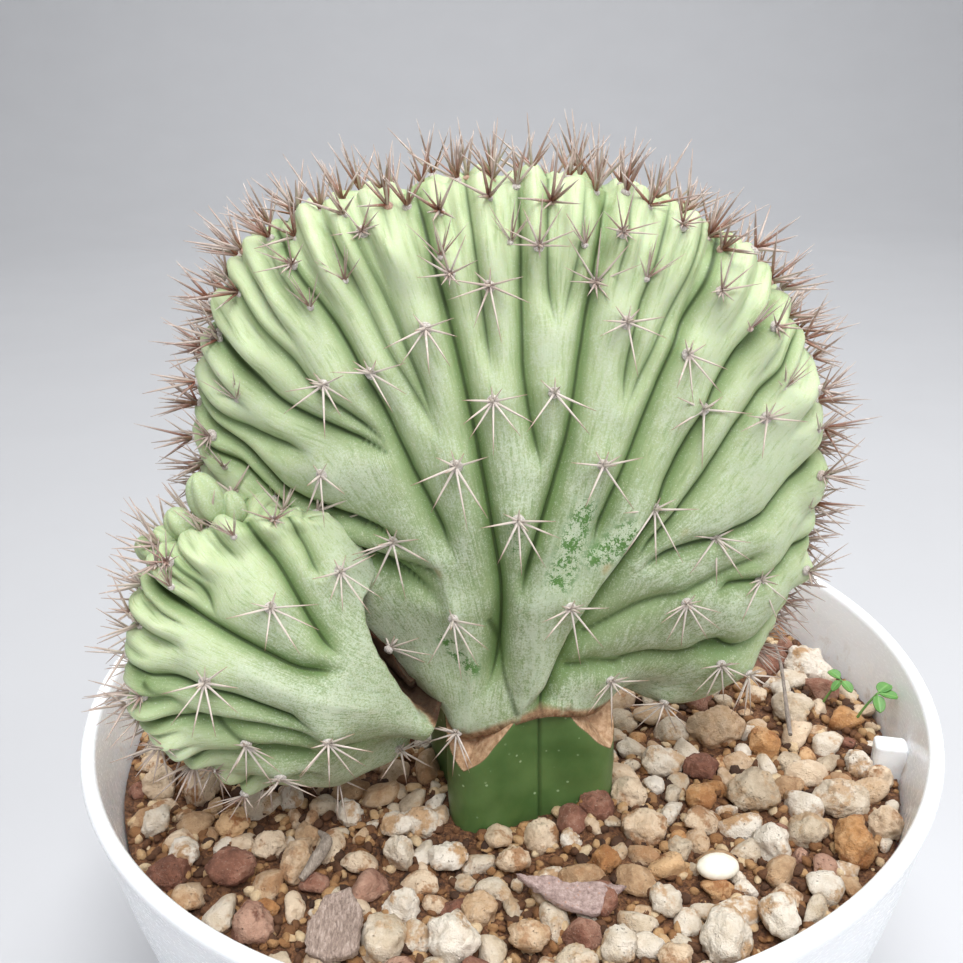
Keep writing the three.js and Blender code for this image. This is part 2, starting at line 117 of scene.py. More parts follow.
# Each fan grows from a flat cut base: x is across it, z along its growth and y through it.
# A groove is (share of the crest, where it starts up the rib, sideways drift at its foot,
# how far up the drift lasts, depth). An areole is (share of the crest, share up the rib).
# Creases and keels are drawn through such points on the front, with a depth or height, and a
# push moves the skin round such a point. The hollow is the edge of the cleft beside the lobe.
# Spacing is the gap between the tufts on the crest, tuft the fewest and most spines in one, and
# shoulders the number of clusters just under the crest. Rust says how russet the tufts are.
MAIN_FAN = {
    "base": (3, -14, STOCK_TOP + 0.35),
    "ring": (14.2, 13.6),
    "lean": 0,
    "turn": 0,
    "centre": (-2, 2, 35.5),
    "half": (46.8, 44.6),
    "squareness": 2.45,
    "ends": (-37, 217),
    "start": (128, 128),
    "thickness": 18,
    "wander": 2.2,
    "grooves": [
        (0.560, 0.08, 0.075, 0.25, 1),
        (0.650, 0.38, -0.016, 0.2, 0.9),
        (0.493, 0.52, -0.03, 0.2, 0.8),
        (0.433, 0.28, 0.085, 0.35, 1),
        (0.350, 0.38, 0.022, 0.25, 0.9),
        (0.297, 0, 0.165, 0.5, 1),
        (0.262, 0.38, 0.037, 0.25, 0.8),
        (0.178, 0.37, 0.11, 0.35, 0.9),
        (0.120, 0.45, 0.05, 0.3, 0.8),
        (0.730, 0.58, -0.08, 0.25, 0.9),
        (0.771, 0.68, -0.04, 0.2, 0.8),
        (0.696, 0.6, -0.045, 0.2, 0.7),
        (0.666, 0.8, 0, 0.1, 0.4),
        (0.621, 0.6, -0.02, 0.2, 0.5),
        (0.604, 0.62, 0, 0.1, 0.6),
        (0.528, 0.68, 0, 0.1, 0.6),
        (0.473, 0.75, -0.015, 0.15, 0.6),
        (0.447, 0.75, 0.01, 0.15, 0.5),
        (0.390, 0.64, -0.012, 0.2, 0.6),
        (0.365, 0.64, 0.012, 0.2, 0.5),
        (0.415, 0.8, 0, 0.1, 0.5),
        (0.785, 0.42, -0.1, 0.3, 0.9),
        (0.800, 0.3, -0.115, 0.35, 0.9),
        (0.860, 0.38, -0.06, 0.3, 0.8),
        (0.920, 0.35, -0.05, 0.3, 0.7),
        (0.070, 0.3, 0.05, 0.3, 0.8),
    ],
    "areoles": [
        (0.51, 0.46), (0.59, 0.56), (0.39, 0.56), (0.53, 0.66), (0.46, 0.67), (0.58, 0.78),
        (0.52, 0.83), (0.48, 0.88), (0.43, 0.84), (0.40, 0.79), (0.34, 0.78), (0.64, 0.74),
        (0.68, 0.76), (0.73, 0.65), (0.71, 0.46), (0.66, 0.28), (0.40, 0.29), (0.30, 0.51),
        (0.30, 0.72), (0.25, 0.80), (0.34, 0.89), (0.65, 0.92), (0.60, 0.93), (0.21, 0.55),
        (0.20, 0.38), (0.24, 0.10), (0.13, 0.63), (0.08, 0.40), (0.02, 0.24), (0.70, 0.02),
        (0.55, 0.85), (0.42, 0.91), (0.38, 0.95), (0.29, 0.91), (0.23, 0.93), (0.73, 0.96),
        (0.70, 0.99), (0.79, 0.90), (0.84, 0.72), (0.87, 0.92), (0.80, 0.52),
        (0.17, 0.90), (0.10, 0.85), (0.04, 0.62),
    ],
    "creases": [
        ([(0.36, 0.12), (0.30, 0.13), (0.23, 0.135), (0.17, 0.18), (0.125, 0.235), (0.1, 0.39)], 2.6),
        ([(0.333, 0.205), (0.258, 0.3), (0.195, 0.43), (0.155, 0.62)], 2.0),
        ([(0.80, 0.53), (0.738, 0.43), (0.68, 0.37)], 1.6),
        ([(0.53, 0.02), (0.575, 0.12), (0.60, 0.24)], 0.8),
    ],
    "keels": [
        ([(0.525, 0.03), (0.45, 0.1), (0.39, 0.2), (0.365, 0.275), (0.325, 0.395), (0.315, 0.46)], 1.5),
        ([(0.665, 0.40), (0.658, 0.3), (0.652, 0.19), (0.665, 0.03)], 1.2),
        ([(0.46, 0.10), (0.475, 0.24), (0.47, 0.38)], 0.7),
    ],
    "pushes": [
        ((0.76, 0.10), (-0.6, -2.4, -0.4), 6),
        ((0.69, 0.0), (-1.8, -0.6, -2.0), 4.5),
        ((0.44, 0.0), (0, 0, 2.6), 6),
        ((0.67, 1.0), (-2.6, 0, 2.8), 17),
        ((0.80, 1.0), (-1.2, 0, 0.6), 10),
        ((0.49, 1.0), (0, 0, 1.7), 20),
    ],
    "top_spacing": 0.027,
    "spacing": 4.2,
    "rust": 0.95,
    "tuft": (5, 8),
    "tufts_from": 0,
    "shoulders": 17,
}
SIDE_LOBE = {
    "base": (-11.5, -22.5, 76.5),
    "ring": (7, 8),
    "lean": 61,
    "turn": 8,
    "centre": (0, -1, 25),
    "half": (22.5, 22),
    "squareness": 2.3,
    "ends": (6, 215),
    "start": (30, 118),
    "thickness": 13.5,
    "wander": 1.5,
    "grooves": [
        (0.352, 0.36, -0.05, 0.16, 1),
        (0.295, 0.75, 0.05, 0.12, 0.7),
        (0.153, 0.38, 0.105, 0.4, 0.9),
        (0.210, 0.8, 0, 0.1, 0.5),
        (0.510, 0.40, 0.08, 0.4, 0.9),
        (0.430, 0.8, 0, 0.1, 0.5),
        (0.620, 0.36, 0.05, 0.35, 0.8),
        (0.730, 0.40, 0.03, 0.3, 0.7),
        (0.840, 0.45, 0, 0.3, 0.6),
        (0.080, 0.60, 0.03, 0.2, 0.6),
        (0.570, 0.80, 0, 0.1, 0.4),
        (0.920, 0.60, 0, 0.1, 0.5),
    ],
    "areoles": [
        (0.24, 0.66), (0.07, 0.60), (0.11, 0.92), (0.48, 0.73), (0.62, 0.36), (0.69, 0.65),
        (0.98, 0.78), (0.42, 0.97), (0.56, 0.92), (0.96, 0.18), (0.80, 0.60), (0.86, 0.90),
        (0.30, 0.93),
    ],
    "creases": [
        ([(0.53, 0.905), (0.633, 0.72), (0.713, 0.6), (0.748, 0.335), (0.768, 0.17)], 1.8),
    ],
    "keels": [
        ([(0.42, 0.62), (0.44, 0.42), (0.45, 0.25)], 0.8),
    ],
    "pushes": [
        ((0.97, 0.42), (0, 1.0, 2.6), 9),
        ((0.34, 1.0), (-1.6, 0, 2.6), 9),
        ((0.28, 0.02), (-1.4, 2.5, -2.6), 5),
    ],
    "top_spacing": 0.065,
    "spacing": 6.2,
    "rust": 0.45,
    "tuft": (4, 7),
    "tufts_from": 0.2,
    "shoulders": 4,
    "hollow": [(0, 0.5), (0.07, 0.455), (0.128, 0.375), (0.217, 0.265), (0.365, 0.125), (0.5, 0.02)],
}
# Dry scars on the front of the main fan, and the tracks where its powder is rubbed off.
SCARS = [(0.67, 0.37, 1.1), (0.588, 0.295, 0.7), (0.255, 0.505, 1.0), (0.343, 0.37, 0.9)]
RUBBED = [
    ((0.395, 0.47), (0.425, 0.34), 2.6),
    ((0.325, 0.45), (0.36, 0.39), 2.6),
    ((0.70, 0.22), (0.66, 0.145), 1.8),
    ((0.695, 0.095), (0.665, 0.02), 1.6),
    ((0.515, 0.44), (0.515, 0.40), 1.4),
]
# Round offset tips on the lobe's crest: share of the crest, height above it, three half sizes.
OFFSETS = [
    (0.20, 3.0, (2.8, 2.6, 3.9)),
    (0.26, 1.0, (2.3, 2.2, 2.6)),
    (0.335, 0.6, (2.1, 2.0, 2.2)),
    (0.165, 1.4, (2.0, 1.9, 2.6)),
    (0.30, 0.4, (1.7, 1.6, 1.9)),
]


# ---------------------------------------------------------------- mesh helpers


def smooth(value):
    """Zero below 0, one above 1, and an even turn between them."""
    k = np.clip(value, 0, 1)
    return k * k * (3 - 2 * k)


def drop_selection():
    """Nothing stays selected, so that an operator works on the next piece alone."""
    if bpy.context.object and bpy.context.object.mode != "OBJECT":
        bpy.ops.object.mode_set(mode="OBJECT")
    bpy.ops.object.select_all(action="DESELECT")


def pick(obj):
    drop_selection()
    obj.select_set(True)
    bpy.context.view_layer.objects.active = obj


def settle(obj, name):
    """The finished object's place goes into its mesh, and it gets its name."""
    pick(obj)
    bpy.ops.object.transform_apply(location=True, rotation=True, scale=True)
    obj.name = name
    obj.data.name = name
    return obj


def close_up(obj, gap=0.002):
    """Doubles are merged and the faces turned outwards."""
    pick(obj)
    bpy.ops.object.mode_set(mode="EDIT")
    bpy.ops.mesh.select_all(action="SELECT")
    bpy.ops.mesh.remove_doubles(threshold=gap * MM)
    bpy.ops.mesh.normals_make_consistent(inside=False)
    bpy.ops.object.mode_set(mode="OBJECT")


def apply_modifier(obj, kind, **settings):
    pick(obj)
    modifier = obj.modifiers.new(kind.title(), kind)
    for key, value in settings.items():
        setattr(modifier, key, value)
    bpy.ops.object.modifier_apply(modifier=modifier.name)


def places_of(mesh):
    """The vertices' places in millimetres, one row each."""
    flat = np.empty(3 * len(mesh.vertices), np.float32)
    mesh.vertices.foreach_get("co", flat)
    return flat.reshape(-1, 3).astype(float) / MM


def move_vertices(mesh, places):
    mesh.vertices.foreach_set("co", (np.asarray(places) * MM).astype(np.float32).ravel())
    mesh.update()


def add_trait(mesh, name, values):
    """A value at each vertex, which a material reads."""
    layer = mesh.attributes.new(name, "FLOAT", "POINT")
    layer.data.foreach_set("value", np.asarray(values, np.float32).ravel())


def skin(name, columns, rows, shape):
    """A grid wrapped into a closed skin: shape turns shares across and up into places and traits."""
    drop_selection()
    bpy.ops.mesh.primitive_grid_add(x_subdivisions=columns, y_subdivisions=rows, size=1)
    obj = bpy.context.object
    flat = places_of(obj.data) * MM + 0.5
    places, traits = shape(flat[:, 0], flat[:, 1])
    move_vertices(obj.data, places)
    for trait, values in traits.items():
        add_trait(obj.data, trait, values)
    close_up(obj)
    bpy.ops.object.shade_smooth()
    return settle(obj, name)


def turned(name, profile, steps):
    """A profile of (radius, height) drawn point by point and spun round the upright axis."""
    drop_selection()
    bpy.ops.mesh.primitive_plane_add(size=MM)
    obj = bpy.context.object
    bpy.ops.object.mode_set(mode="EDIT")
    bpy.ops.mesh.select_all(action="SELECT")
    bpy.ops.mesh.merge(type="CENTER")
    r, z = profile[0]
    bpy.ops.transform.translate(value=(r * MM, 0, z * MM))
    for new_r, new_z in profile[1:]:
        step = ((new_r - r) * MM, 0, (new_z - z) * MM)
        bpy.ops.mesh.extrude_region_move(TRANSFORM_OT_translate={"value": step})
        r, z = new_r, new_z
    bpy.ops.mesh.select_all(action="SELECT")
    bpy.ops.mesh.spin(steps=steps, angle=TURN, center=(0, 0, 0), axis=(0, 0, 1))
    bpy.ops.object.mode_set(mode="OBJECT")
    close_up(obj)
    bpy.ops.object.shade_smooth_by_angle(angle=math.radians(40))
    return settle(obj, name)


def stamped(name, model, frames, traits):
    """Many copies of a small model as one piece; each trait has one value for each copy."""
    base = places_of(model.data)
    faces = [tuple(face.vertices) for face in model.data.polygons]
    own = {layer.name: layer for layer in model.data.attributes if layer.name.startswith("own_")}
    copies = [base @ np.array(m.to_3x3()).T + np.array(m.translation) for m in frames]
    mesh = bpy.data.meshes.new(name)
    count = len(base)
    shifted = [tuple(i + count * k for i in face) for k in range(len(frames)) for face in faces]
    mesh.from_pydata((np.concatenate(copies) * MM).tolist(), [], shifted)
    for trait, values in traits.items():
        add_trait(mesh, trait, np.repeat(values, count))
    for trait, layer in own.items():
        values = np.empty(count, np.float32)
        layer.data.foreach_get("value", values)
        add_trait(mesh, trait[4:], np.tile(values, len(frames)))
    mesh.polygons.foreach_set("use_smooth", [True] * len(mesh.polygons))
    mesh.update()
    obj = bpy.data.objects.new(name, mesh)
    bpy.context.scene.collection.objects.link(obj)
    return obj


def discard(*objs):
    for obj in objs:
        bpy.data.objects.remove(obj, do_unlink=True)


def join(others, onto):
    """Other pieces become part of one, which keeps its name."""
    drop_selection()
    for obj in (*others, onto):
        obj.select_set(True)
    bpy.context.view_layer.objects.active = onto
    bpy.ops.object.join()


def ripple(places, size, seed=0):
    """Smooth noise from -1 to 1 at each place; size is the width of its waves in millimetres."""
    offset = Vector((13.1 * seed, 7.7 * seed, 3.3 * seed))
    return np.array([noise.noise(Vector(p) / size + offset) for p in places])


# ---------------------------------------------------------------- material helpers


def tint(code):
    """A colour given as a hex code, as the linear values a shader takes."""
    parts = [int(code[i : i + 2], 16) / 255 for i in (0, 2, 4)]
    linear = [c / 12.92 if c <= 0.04045 else ((c + 0.055) / 1.055) ** 2.4 for c in parts]
    return (*linear, 1)


class Value:
    """A socket of a finish. Arithmetic on it adds Math nodes."""

    def __init__(self, finish, socket):
        self.finish = finish
        self.socket = socket

    def math(self, operation, *values):
        inputs = dict(enumerate(values))
        return self.finish.node("ShaderNodeMath", {"operation": operation}, inputs)

    def __add__(self, other):
        return self.math("ADD", self, other)

    def __sub__(self, other):
        return self.math("SUBTRACT", self, other)

    def __rsub__(self, other):
        return self.math("SUBTRACT", other, self)

    def __mul__(self, other):
        return self.math("MULTIPLY", self, other)

    __radd__ = __add__
    __rmul__ = __mul__

    def between(self, low, high):
        """Zero at low, one at high, with an even turn between them."""
        settings = {"interpolation_type": "SMOOTHSTEP"}
        inputs = {"Value": self, "From Min": low, "From Max": high}
        return self.finish.node("ShaderNodeMapRange", settings, inputs)


class Finish:
    """A procedural material."""

    def __init__(self, name):
        self.material = bpy.data.materials.new(name)
        self.material.use_nodes = True
        self.tree = self.material.node_tree
        self.tree.nodes.clear()
        self.place = self.node("ShaderNodeTexCoord", output="Object")

    def node(self, kind, settings=None, inputs=None, output=0):
        made = self.tree.nodes.new(kind)
        for key, value in (settings or {}).items():
            if key == "stops":
                self.set_stops(made.color_ramp, value)
            else:
                setattr(made, key, value)
        for key, value in (inputs or {}).items():
            if isinstance(value, Value):
                self.tree.links.new(value.socket, made.inputs[key])
            else:
                made.inputs[key].default_value = value
        return None if output is None else Value(self, made.outputs[output])

    def set_stops(self, ramp, stops):
        while len(ramp.elements) < len(stops):
            ramp.elements.new(0.5)
        for element, (position, colour) in zip(ramp.elements, stops):
            element.position = position
            element.color = colour

    def trait(self, name):
        return self.node("ShaderNodeAttribute", {"attribute_name": name}, output="Fac")

    def stretched(self, scale):
        """Object coordinates, squeezed by a factor along each axis."""
        return self.node("ShaderNodeMapping", None, {"Vector": self.place, "Scale": scale})

    def cloud(self, size, detail=3, roughness=0.5, place=None):
        """Noise from 0 to 1 whose patches are size millimetres wide."""
        inputs = {
            "Vector": place or self.place,
            "Scale": 1 / (size * MM),
            "Detail": detail,
            "Roughness": roughness,
        }
        return self.node("ShaderNodeTexNoise", None, inputs, "Fac")

    def cells(self, size, feature="F1"):
        """Distance to the nearest of scattered points that are size millimetres apart."""
        inputs = {"Vector": self.place, "Scale": 1 / (size * MM)}
        return self.node("ShaderNodeTexVoronoi", {"feature": feature}, inputs, "Distance")

    def blend(self, share, first, second):
        inputs = {0: share, 6: first, 7: second}
        return self.node("ShaderNodeMix", {"data_type": "RGBA"}, inputs, 2)

    def ramp(self, value, *stops):
        return self.node("ShaderNodeValToRGB", {"stops": stops}, {"Fac": value})

    def bump(self, height, depth):
        """A bump that is depth millimetres deep where height goes from 0 to 1."""
        inputs = {"Height": height, "Distance": depth * MM, "Strength": 1.0}
        return self.node("ShaderNodeBump", None, inputs)

    def surface(self, colour, roughness, normal=None, **uniform):
        inputs = {"Base Color": colour, "Roughness": roughness}
        if normal:
            inputs["Normal"] = normal
        inputs.update({key.replace("_", " "): value for key, value in uniform.items()})
        shader = self.node("ShaderNodeBsdfPrincipled", None, inputs)
        self.node("ShaderNodeOutputMaterial", None, {"Surface": shader}, None)
        return self.material


def dress(obj, material, slot=None, *nodes):
    """The piece gets its finish, rides on the only body, and stands for its CAD nodes."""
    obj.data.materials.clear()
    obj.data.materials.append(material)
    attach(obj, "root")
    if nodes:
        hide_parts(*nodes)
    return obj


# ---------------------------------------------------------------- finishes


def scion_green(f, age, valley, streak):
    """The skin under the powder, paler at the crest, with painted shade that darkens it down in the
    grooves.
    """
    green = f.blend(f.cloud(12, 4).between(0.35, 0.7), tint("8c9e71"), tint("7d8f64"))
    green = f.blend(age.between(0.35, 0.95) * 0.95, green, tint("c0cea2"))
    # Painted shade: the green darkens with the depth of the grooves.
    green = f.blend(valley.between(0.2, 0.85) * 0.75, green, tint("668446"))
    return f.blend(streak.between(0.5, 0.3) * 0.4, green, tint("6f8a50"))


def scion_marks(f, colour, grain, fleck):
    """Worn tracks, painted shade along the groove and crease lines, the corky rim and lining with
    painted shade deep in the cleft, and dry scars.
    """
    worn = f.trait("rubbed") * (fleck * 0.9 + grain * 1.1).between(0.99, 1.04)
    colour = f.blend(worn * 0.95, colour, tint("4a7530"))
    # Painted shade: a dark line along the bottom of each groove and crease.
    colour = f.blend(f.trait("line").between(0.2, 0.9) * 0.9, colour, tint("34451f"))
    bark = f.ramp(grain, (0.3, tint("5a412d")), (0.5, tint("8a6b4e")), (0.75, tint("b39878")))
    # Painted shade: the real cork colour darkens towards the bottom of the cleft.
    bark = f.blend(f.trait("hollow").between(0.25, 0.95) * 0.85, bark, tint("33241a"))
    colour = f.blend(f.trait("cork"), colour, bark)
    return f.blend(f.trait("scar"), colour, tint("a98a58"))


def scion_skin():
    """Waxy green skin under a worn, speckled powder that lies in fine streaks along the ribs."""
    f = Finish("scion_green_skin")
    age, valley, rubbed, cork = (f.trait(name) for name in ("age", "valley", "rubbed", "cork"))
    patches = f.cloud(12, 4)
    grain = f.cloud(1.4, 4, 0.7)
    fleck = f.cloud(0.3, 3, 0.8)
    along_ribs = f.node("ShaderNodeCombineXYZ", None, {"X": f.trait("share") * 0.3, "Y": age * 0.016})
    streak = f.cloud(1, 4, 0.65, along_ribs)
    low = 1 - age.between(0.5, 0.98) * 0.25
    cover = fleck * 1.1 + grain * 0.5 + patches * 0.5 + streak * 0.7 - valley * 0.5 + rubbed * 0.12
    powder = cover.between(1.14, 1.56) * low * 0.85
    colour = f.blend(powder, scion_green(f, age, valley, streak), tint("bfc9b1"))
    dust = f.cloud(0.26, 2, 0.8).between(0.6, 0.72) * low * (1 - rubbed) * 0.5
    colour = f.blend(dust, colour, tint("d9dfd0"))
    relief = fleck * 0.35 + grain * 0.5 + streak * 0.6 + cork * grain * 2
    return f.surface(
        scion_marks(f, colour, grain, fleck),
        0.5 + powder * 0.28 + cork * 0.2,
        f.bump(relief, 0.12),
        Subsurface_Weight=0.1,
        Subsurface_Scale=0.003,
        Specular_IOR_Level=0.35,
    )


def stock_skin():
    """Deep green stem skin with pale flecks, a painted shade line along each furrow, and dry tan cuts
    on the rib tops.
    """
    f = Finish("rootstock_green_skin")
    cut, furrow, height = f.trait("cut"), f.trait("furrow"), f.trait("height")
    clouds = f.cloud(9, 4)
    grain = f.cloud(0.9, 4, 0.6)
    green = f.blend(clouds.between(0.3, 0.7), tint("42602f"), tint("587440"))
    # Painted shade: the skin darkens along the bottom of each furrow.
    green = f.blend(furrow * 0.7, green, tint("2b4520"))
    flecks = f.cells(1.7).between(0.16, 0.08) * f.cloud(5, 2).between(0.45, 0.6)
    green = f.blend(flecks * 0.7, green, tint("a9bf97"))
    green = f.blend((1 - height.between(0, 0.25)) * 0.7, green, tint("4a3526"))
    dry = f.ramp(grain, (0.3, tint("916e52")), (0.5, tint("b5916f")), (0.7, tint("cfb092")))
    edge = cut.between(0.2, 0.5) * (1 - cut.between(0.5, 0.8))
    colour = f.blend(cut.between(0.35, 0.6), green, dry)
    colour = f.blend(edge * 0.6, colour, tint("6b4a30"))
    relief = grain * (0.2 + cut * 1.2)
    return f.surface(colour, 0.42 + cut * 0.4, f.bump(relief, 0.15), Subsurface_Weight=0.05)


def spine_finish():
    """Needles that are pale grey at the foot and rosy brown at the tip, and russet on the crest."""
    f = Finish("spine_needles")
    along, young, tone = f.trait("along"), f.trait("young"), f.trait("tone")
    old = f.ramp(along, (0, tint("d6cdc5")), (0.6, tint("cbbdb2")), (1, tint("9a7763")))
    fresh = f.ramp(
        along,
        (0, tint("843f28")),
        (0.3, tint("8f6350")),
        (0.65, tint("9a867c")),
        (1, tint("c4b8b0")),
    )
    colour = f.blend(young * (0.3 + tone.between(0.1, 0.7) * 0.7), old, fresh)
    streak = f.cloud(0.6, 2)
    colour = f.blend(streak.between(0.55, 0.75) * 0.35, colour, tint("efe9e2"))
    return f.surface(colour, 0.5 - along * 0.12, None, Specular_IOR_Level=0.45)


def wool_finish():
    """Felted pale grey wool, tinged with rust on the young growth."""
    f = Finish("areole_wool")
    fluff = f.cloud(0.25, 4, 0.75)
    colour = f.ramp(fluff, (0.3, tint("8d7f7a")), (0.5, tint("c9c0b9")), (0.7, tint("f0ece6")))
    rusty = f.trait("young") * f.trait("tone").between(0.6, 0.95) * 0.6
    colour = f.blend(rusty, colour, tint("b5713f"))
    return f.surface(colour, 0.9, f.bump(fluff, 0.15), Sheen_Weight=0.4)


def pot_finish():
    """Glossy white moulded plastic with faint waviness, light dust and soil marks inside."""
    f = Finish("white_pot_plastic")
    soil_mark, wave = f.trait("soil_mark"), f.cloud(26, 2)
    scuff = f.cloud(1.2, 5, 0.7, f.stretched((1, 1, 6)))
    marks = f.cloud(3.5, 5, 0.65).between(0.5, 0.75) * soil_mark
    colour = f.blend(wave, tint("f3f4f6"), tint("eceef1"))
    colour = f.blend(marks * 0.6, colour, tint("a58c73"))
    colour = f.blend(scuff.between(0.62, 0.8) * 0.12, colour, tint("c9cbd0"))
    roughness = 0.26 + scuff.between(0.5, 0.8) * 0.1 + marks * 0.4
    relief = wave + scuff * 0.015
    return f.surface(colour, roughness, f.bump(relief, 0.1), Subsurface_Weight=0.05)


def stone_finish(name, dark, middle, light, stain):
    """Porous pumice: a mottled ground, rusty stains, dark pits and pale dust."""
    f = Finish(name)
    tone = f.trait("tone")
    clouds, grain, fine = f.cloud(4.5, 5, 0.6), f.cloud(1.1, 5, 0.65), f.cloud(0.3, 3, 0.7)
    ground = clouds * 0.55 + grain * 0.35 + tone * 0.3
    colour = f.ramp(ground, (0.32, tint(dark)), (0.52, tint(middle)), (0.76, tint(light)))
    rust = f.cloud(5, 4, 0.7).between(0.5, 0.62) * (0.45 + tone * 0.5)
    colour = f.blend(rust, colour, tint(stain))
    pits = f.cells(0.8).between(0.2, 0.08) * clouds.between(0.45, 0.6)
    colour = f.blend(pits * 0.35, colour, tint(dark))
    colour = f.blend(fine.between(0.58, 0.75) * 0.3, colour, tint("f2e7d6"))
    relief = grain * 0.9 + fine * 0.6 - pits * 0.8
    return f.surface(colour, 0.8 + grain * 0.15, f.bump(relief, 0.65))


def soil_finish():
    """Moist brown grit with crumbs from near black to rust and buff."""
    f = Finish("brown_grit")
    grain, fine = f.cloud(1.4, 5, 0.75), f.cloud(0.4, 4, 0.75)
    mix = grain * 0.5 + fine * 0.5
    colour = f.ramp(
        mix,
        (0.36, tint("2a1a11")),
        (0.46, tint("573824")),
        (0.55, tint("84593a")),
        (0.68, tint("bb9469")),
    )
    return f.surface(colour, 0.55 + fine * 0.4, f.bump(mix, 1))


def crumb_finish():
    """Loose crumbs, each with a shade of its own from dark humus to rust and buff."""
    f = Finish("loose_crumbs")
    tone = f.trait("tone")
    grain = f.cloud(0.5, 4, 0.7)
    shade = tone * 0.85 + grain * 0.25
    colour = f.ramp(
        shade,
        (0.1, tint("352217")),
        (0.35, tint("654229")),
        (0.6, tint("92673f")),
        (0.8, tint("ba9468")),
        (1, tint("e0cba8")),
    )
    return f.surface(colour, 0.6 + grain * 0.3, f.bump(grain, 0.45))


def dry_finish(name, dark, middle, light, speck, length):
    """Dry plant matter: fibres along the piece, specks, and a worn pale grain."""
    f = Finish(name)
    fibre = f.cloud(0.7, 5, 0.7, f.stretched(length))
    fine = f.cloud(0.4, 3, 0.7)
    colour = f.ramp(fibre, (0.3, tint(dark)), (0.52, tint(middle)), (0.74, tint(light)))
    colour = f.blend(f.cells(0.9).between(0.2, 0.1) * 0.5, colour, tint(speck))
    return f.surface(colour, 0.82 + fine * 0.12, f.bump(fibre + fine * 0.4, 0.25))


def pellet_finish():
    """A smooth off-white fertiliser pellet with faint dimples."""
    f = Finish("white_pellet_coat")
    clouds, fine = f.cloud(2.4, 3), f.cloud(0.4, 3, 0.7)
    colour = f.ramp(clouds, (0.3, tint("e3dcc8")), (0.7, tint("faf7ee")))
    return f.surface(colour, 0.42 + fine * 0.2, f.bump(clouds + fine * 0.2, 0.2))


def leaf_finish():
    """Tender seedling leaf, with a paler midrib and soft blotches."""
    f = Finish("seedling_leaf")
    rib, clouds = f.trait("rib"), f.cloud(1.4, 3)
    green = f.blend(clouds, tint("3f7a30"), tint("5f9a48"))
    colour = f.blend(rib * 0.6, green, tint("86b26a"))
    return f.surface(colour, 0.4 + clouds * 0.15, f.bump(clouds, 0.08), Subsurface_Weight=0.15)


def floor_finish():
    f = Finish("pale_floor")
    clouds = f.cloud(60, 3)
    colour = f.blend(clouds, tint("b9babd"), tint("bebfc2"))
    return f.surface(colour, 0.75)


# ---------------------------------------------------------------- fans


def crest_points(fan, w):
    """Across and along places of the crest at shares w of its length."""
    first, last = fan["ends"]
    angle = np.radians(first + (last - first) * w)
    power = fan["squareness"]
    across = np.abs(np.cos(angle) / fan["half"][0]) ** power
    along = np.abs(np.sin(angle) / fan["half"][1]) ** power
    reach = (across + along) ** (-1 / power)
    return fan["centre"][0] + reach * np.cos(angle), fan["centre"][2] + reach * np.sin(angle)


def fan_points(fan, w, s, side):
    """Places on a fan's plain skin: w runs along the crest, s up a rib, on the front or back face."""
    ring_x = fan["ring"][0] * np.cos(np.pi * w)
    around = np.clip(np.sin(np.pi * w), 0, 1)
    crest_x, crest_z = crest_points(fan, w)
    off = 1 - 2 * w
    set_off = np.radians(90 - np.where(w < 0.5, *fan["start"]) * off**3)
    pull = (0.5 + 0.3 * np.abs(off) ** 3) * np.hypot(crest_x - ring_x, crest_z)
    x = (1 - s) ** 2 * ring_x + 2 * s * (1 - s) * (ring_x + pull * np.cos(set_off)) + s**2 * crest_x
    z = 2 * s * (1 - s) * pull * np.sin(set_off) + s**2 * crest_z
    body = fan["thickness"] * around**0.6
    neck = fan["ring"][1] * around
    edge = np.clip(1 - s**2.5, 0, 1) ** (1 / 2.5)
    half = (neck + (body - neck) * smooth(s / 0.5)) * edge
    y = fan["centre"][1] * s + fan["wander"] * s * np.sin(2.5 * np.pi * w) + side * half
    lean, turn = math.radians(-fan["lean"]), math.radians(fan["turn"])
    x, z = x * math.cos(lean) + z * math.sin(lean), z * math.cos(lean) - x * math.sin(lean)
    x, y = x * math.cos(turn) - y * math.sin(turn), x * math.sin(turn) + y * math.cos(turn)
    return np.stack([x, y, z], -1) + np.array(fan["base"])


def unit(vectors):
    return vectors / np.linalg.norm(vectors, axis=-1, keepdims=True)


def fan_frames(fan, w, s, side):
    """Outward directions, the way up the rib, and millimetres of skin for one whole share w."""
    step = 0.004
    mid = np.clip(w, 2 * step, 1 - 2 * step)
    at = np.clip(s, step, 0.97)
    across = fan_points(fan, mid + step, at, side) - fan_points(fan, mid - step, at, side)
    along = fan_points(fan, mid, at + step, side) - fan_points(fan, mid, at - step, side)
    out = unit(np.cross(across, along) * side)
    return out, across / (2 * step), along / (2 * step)


def with_top_grooves(fan):
    """The fan's grooves, with short ones added at the crest where two are far apart."""
    tops = sorted([0.0, *[groove[0] for groove in fan["grooves"]], 1.0])
    extra = []
    for low, high in zip(tops, tops[1:]):
        count = int((high - low) / fan["top_spacing"])
        extra += [(low + (high - low) * (i + 1) / (count + 1), 0.86, 0, 0.1, 0.3) for i in range(count)]
    return fan["grooves"] + extra


def groove_shape(away, depth, soft=0.12):
    """A groove's depth at a distance: a sharp line at the bottom of a wide rounded fold."""
    even = np.sqrt(away**2 + soft)
    return depth * (0.56 * np.exp(-even / 2.25) + 0.55 * np.exp(-even / 0.75))


def course_of(groove, s):
    """Where a groove lies across the ribs at shares s up them, and its sideways slope."""
    top, start, drift, span, _ = groove
    left = np.clip(1 - (s - start) / span, 0, 1)
    return top + drift * left**1.7, -1.7 * drift / span * left**0.7


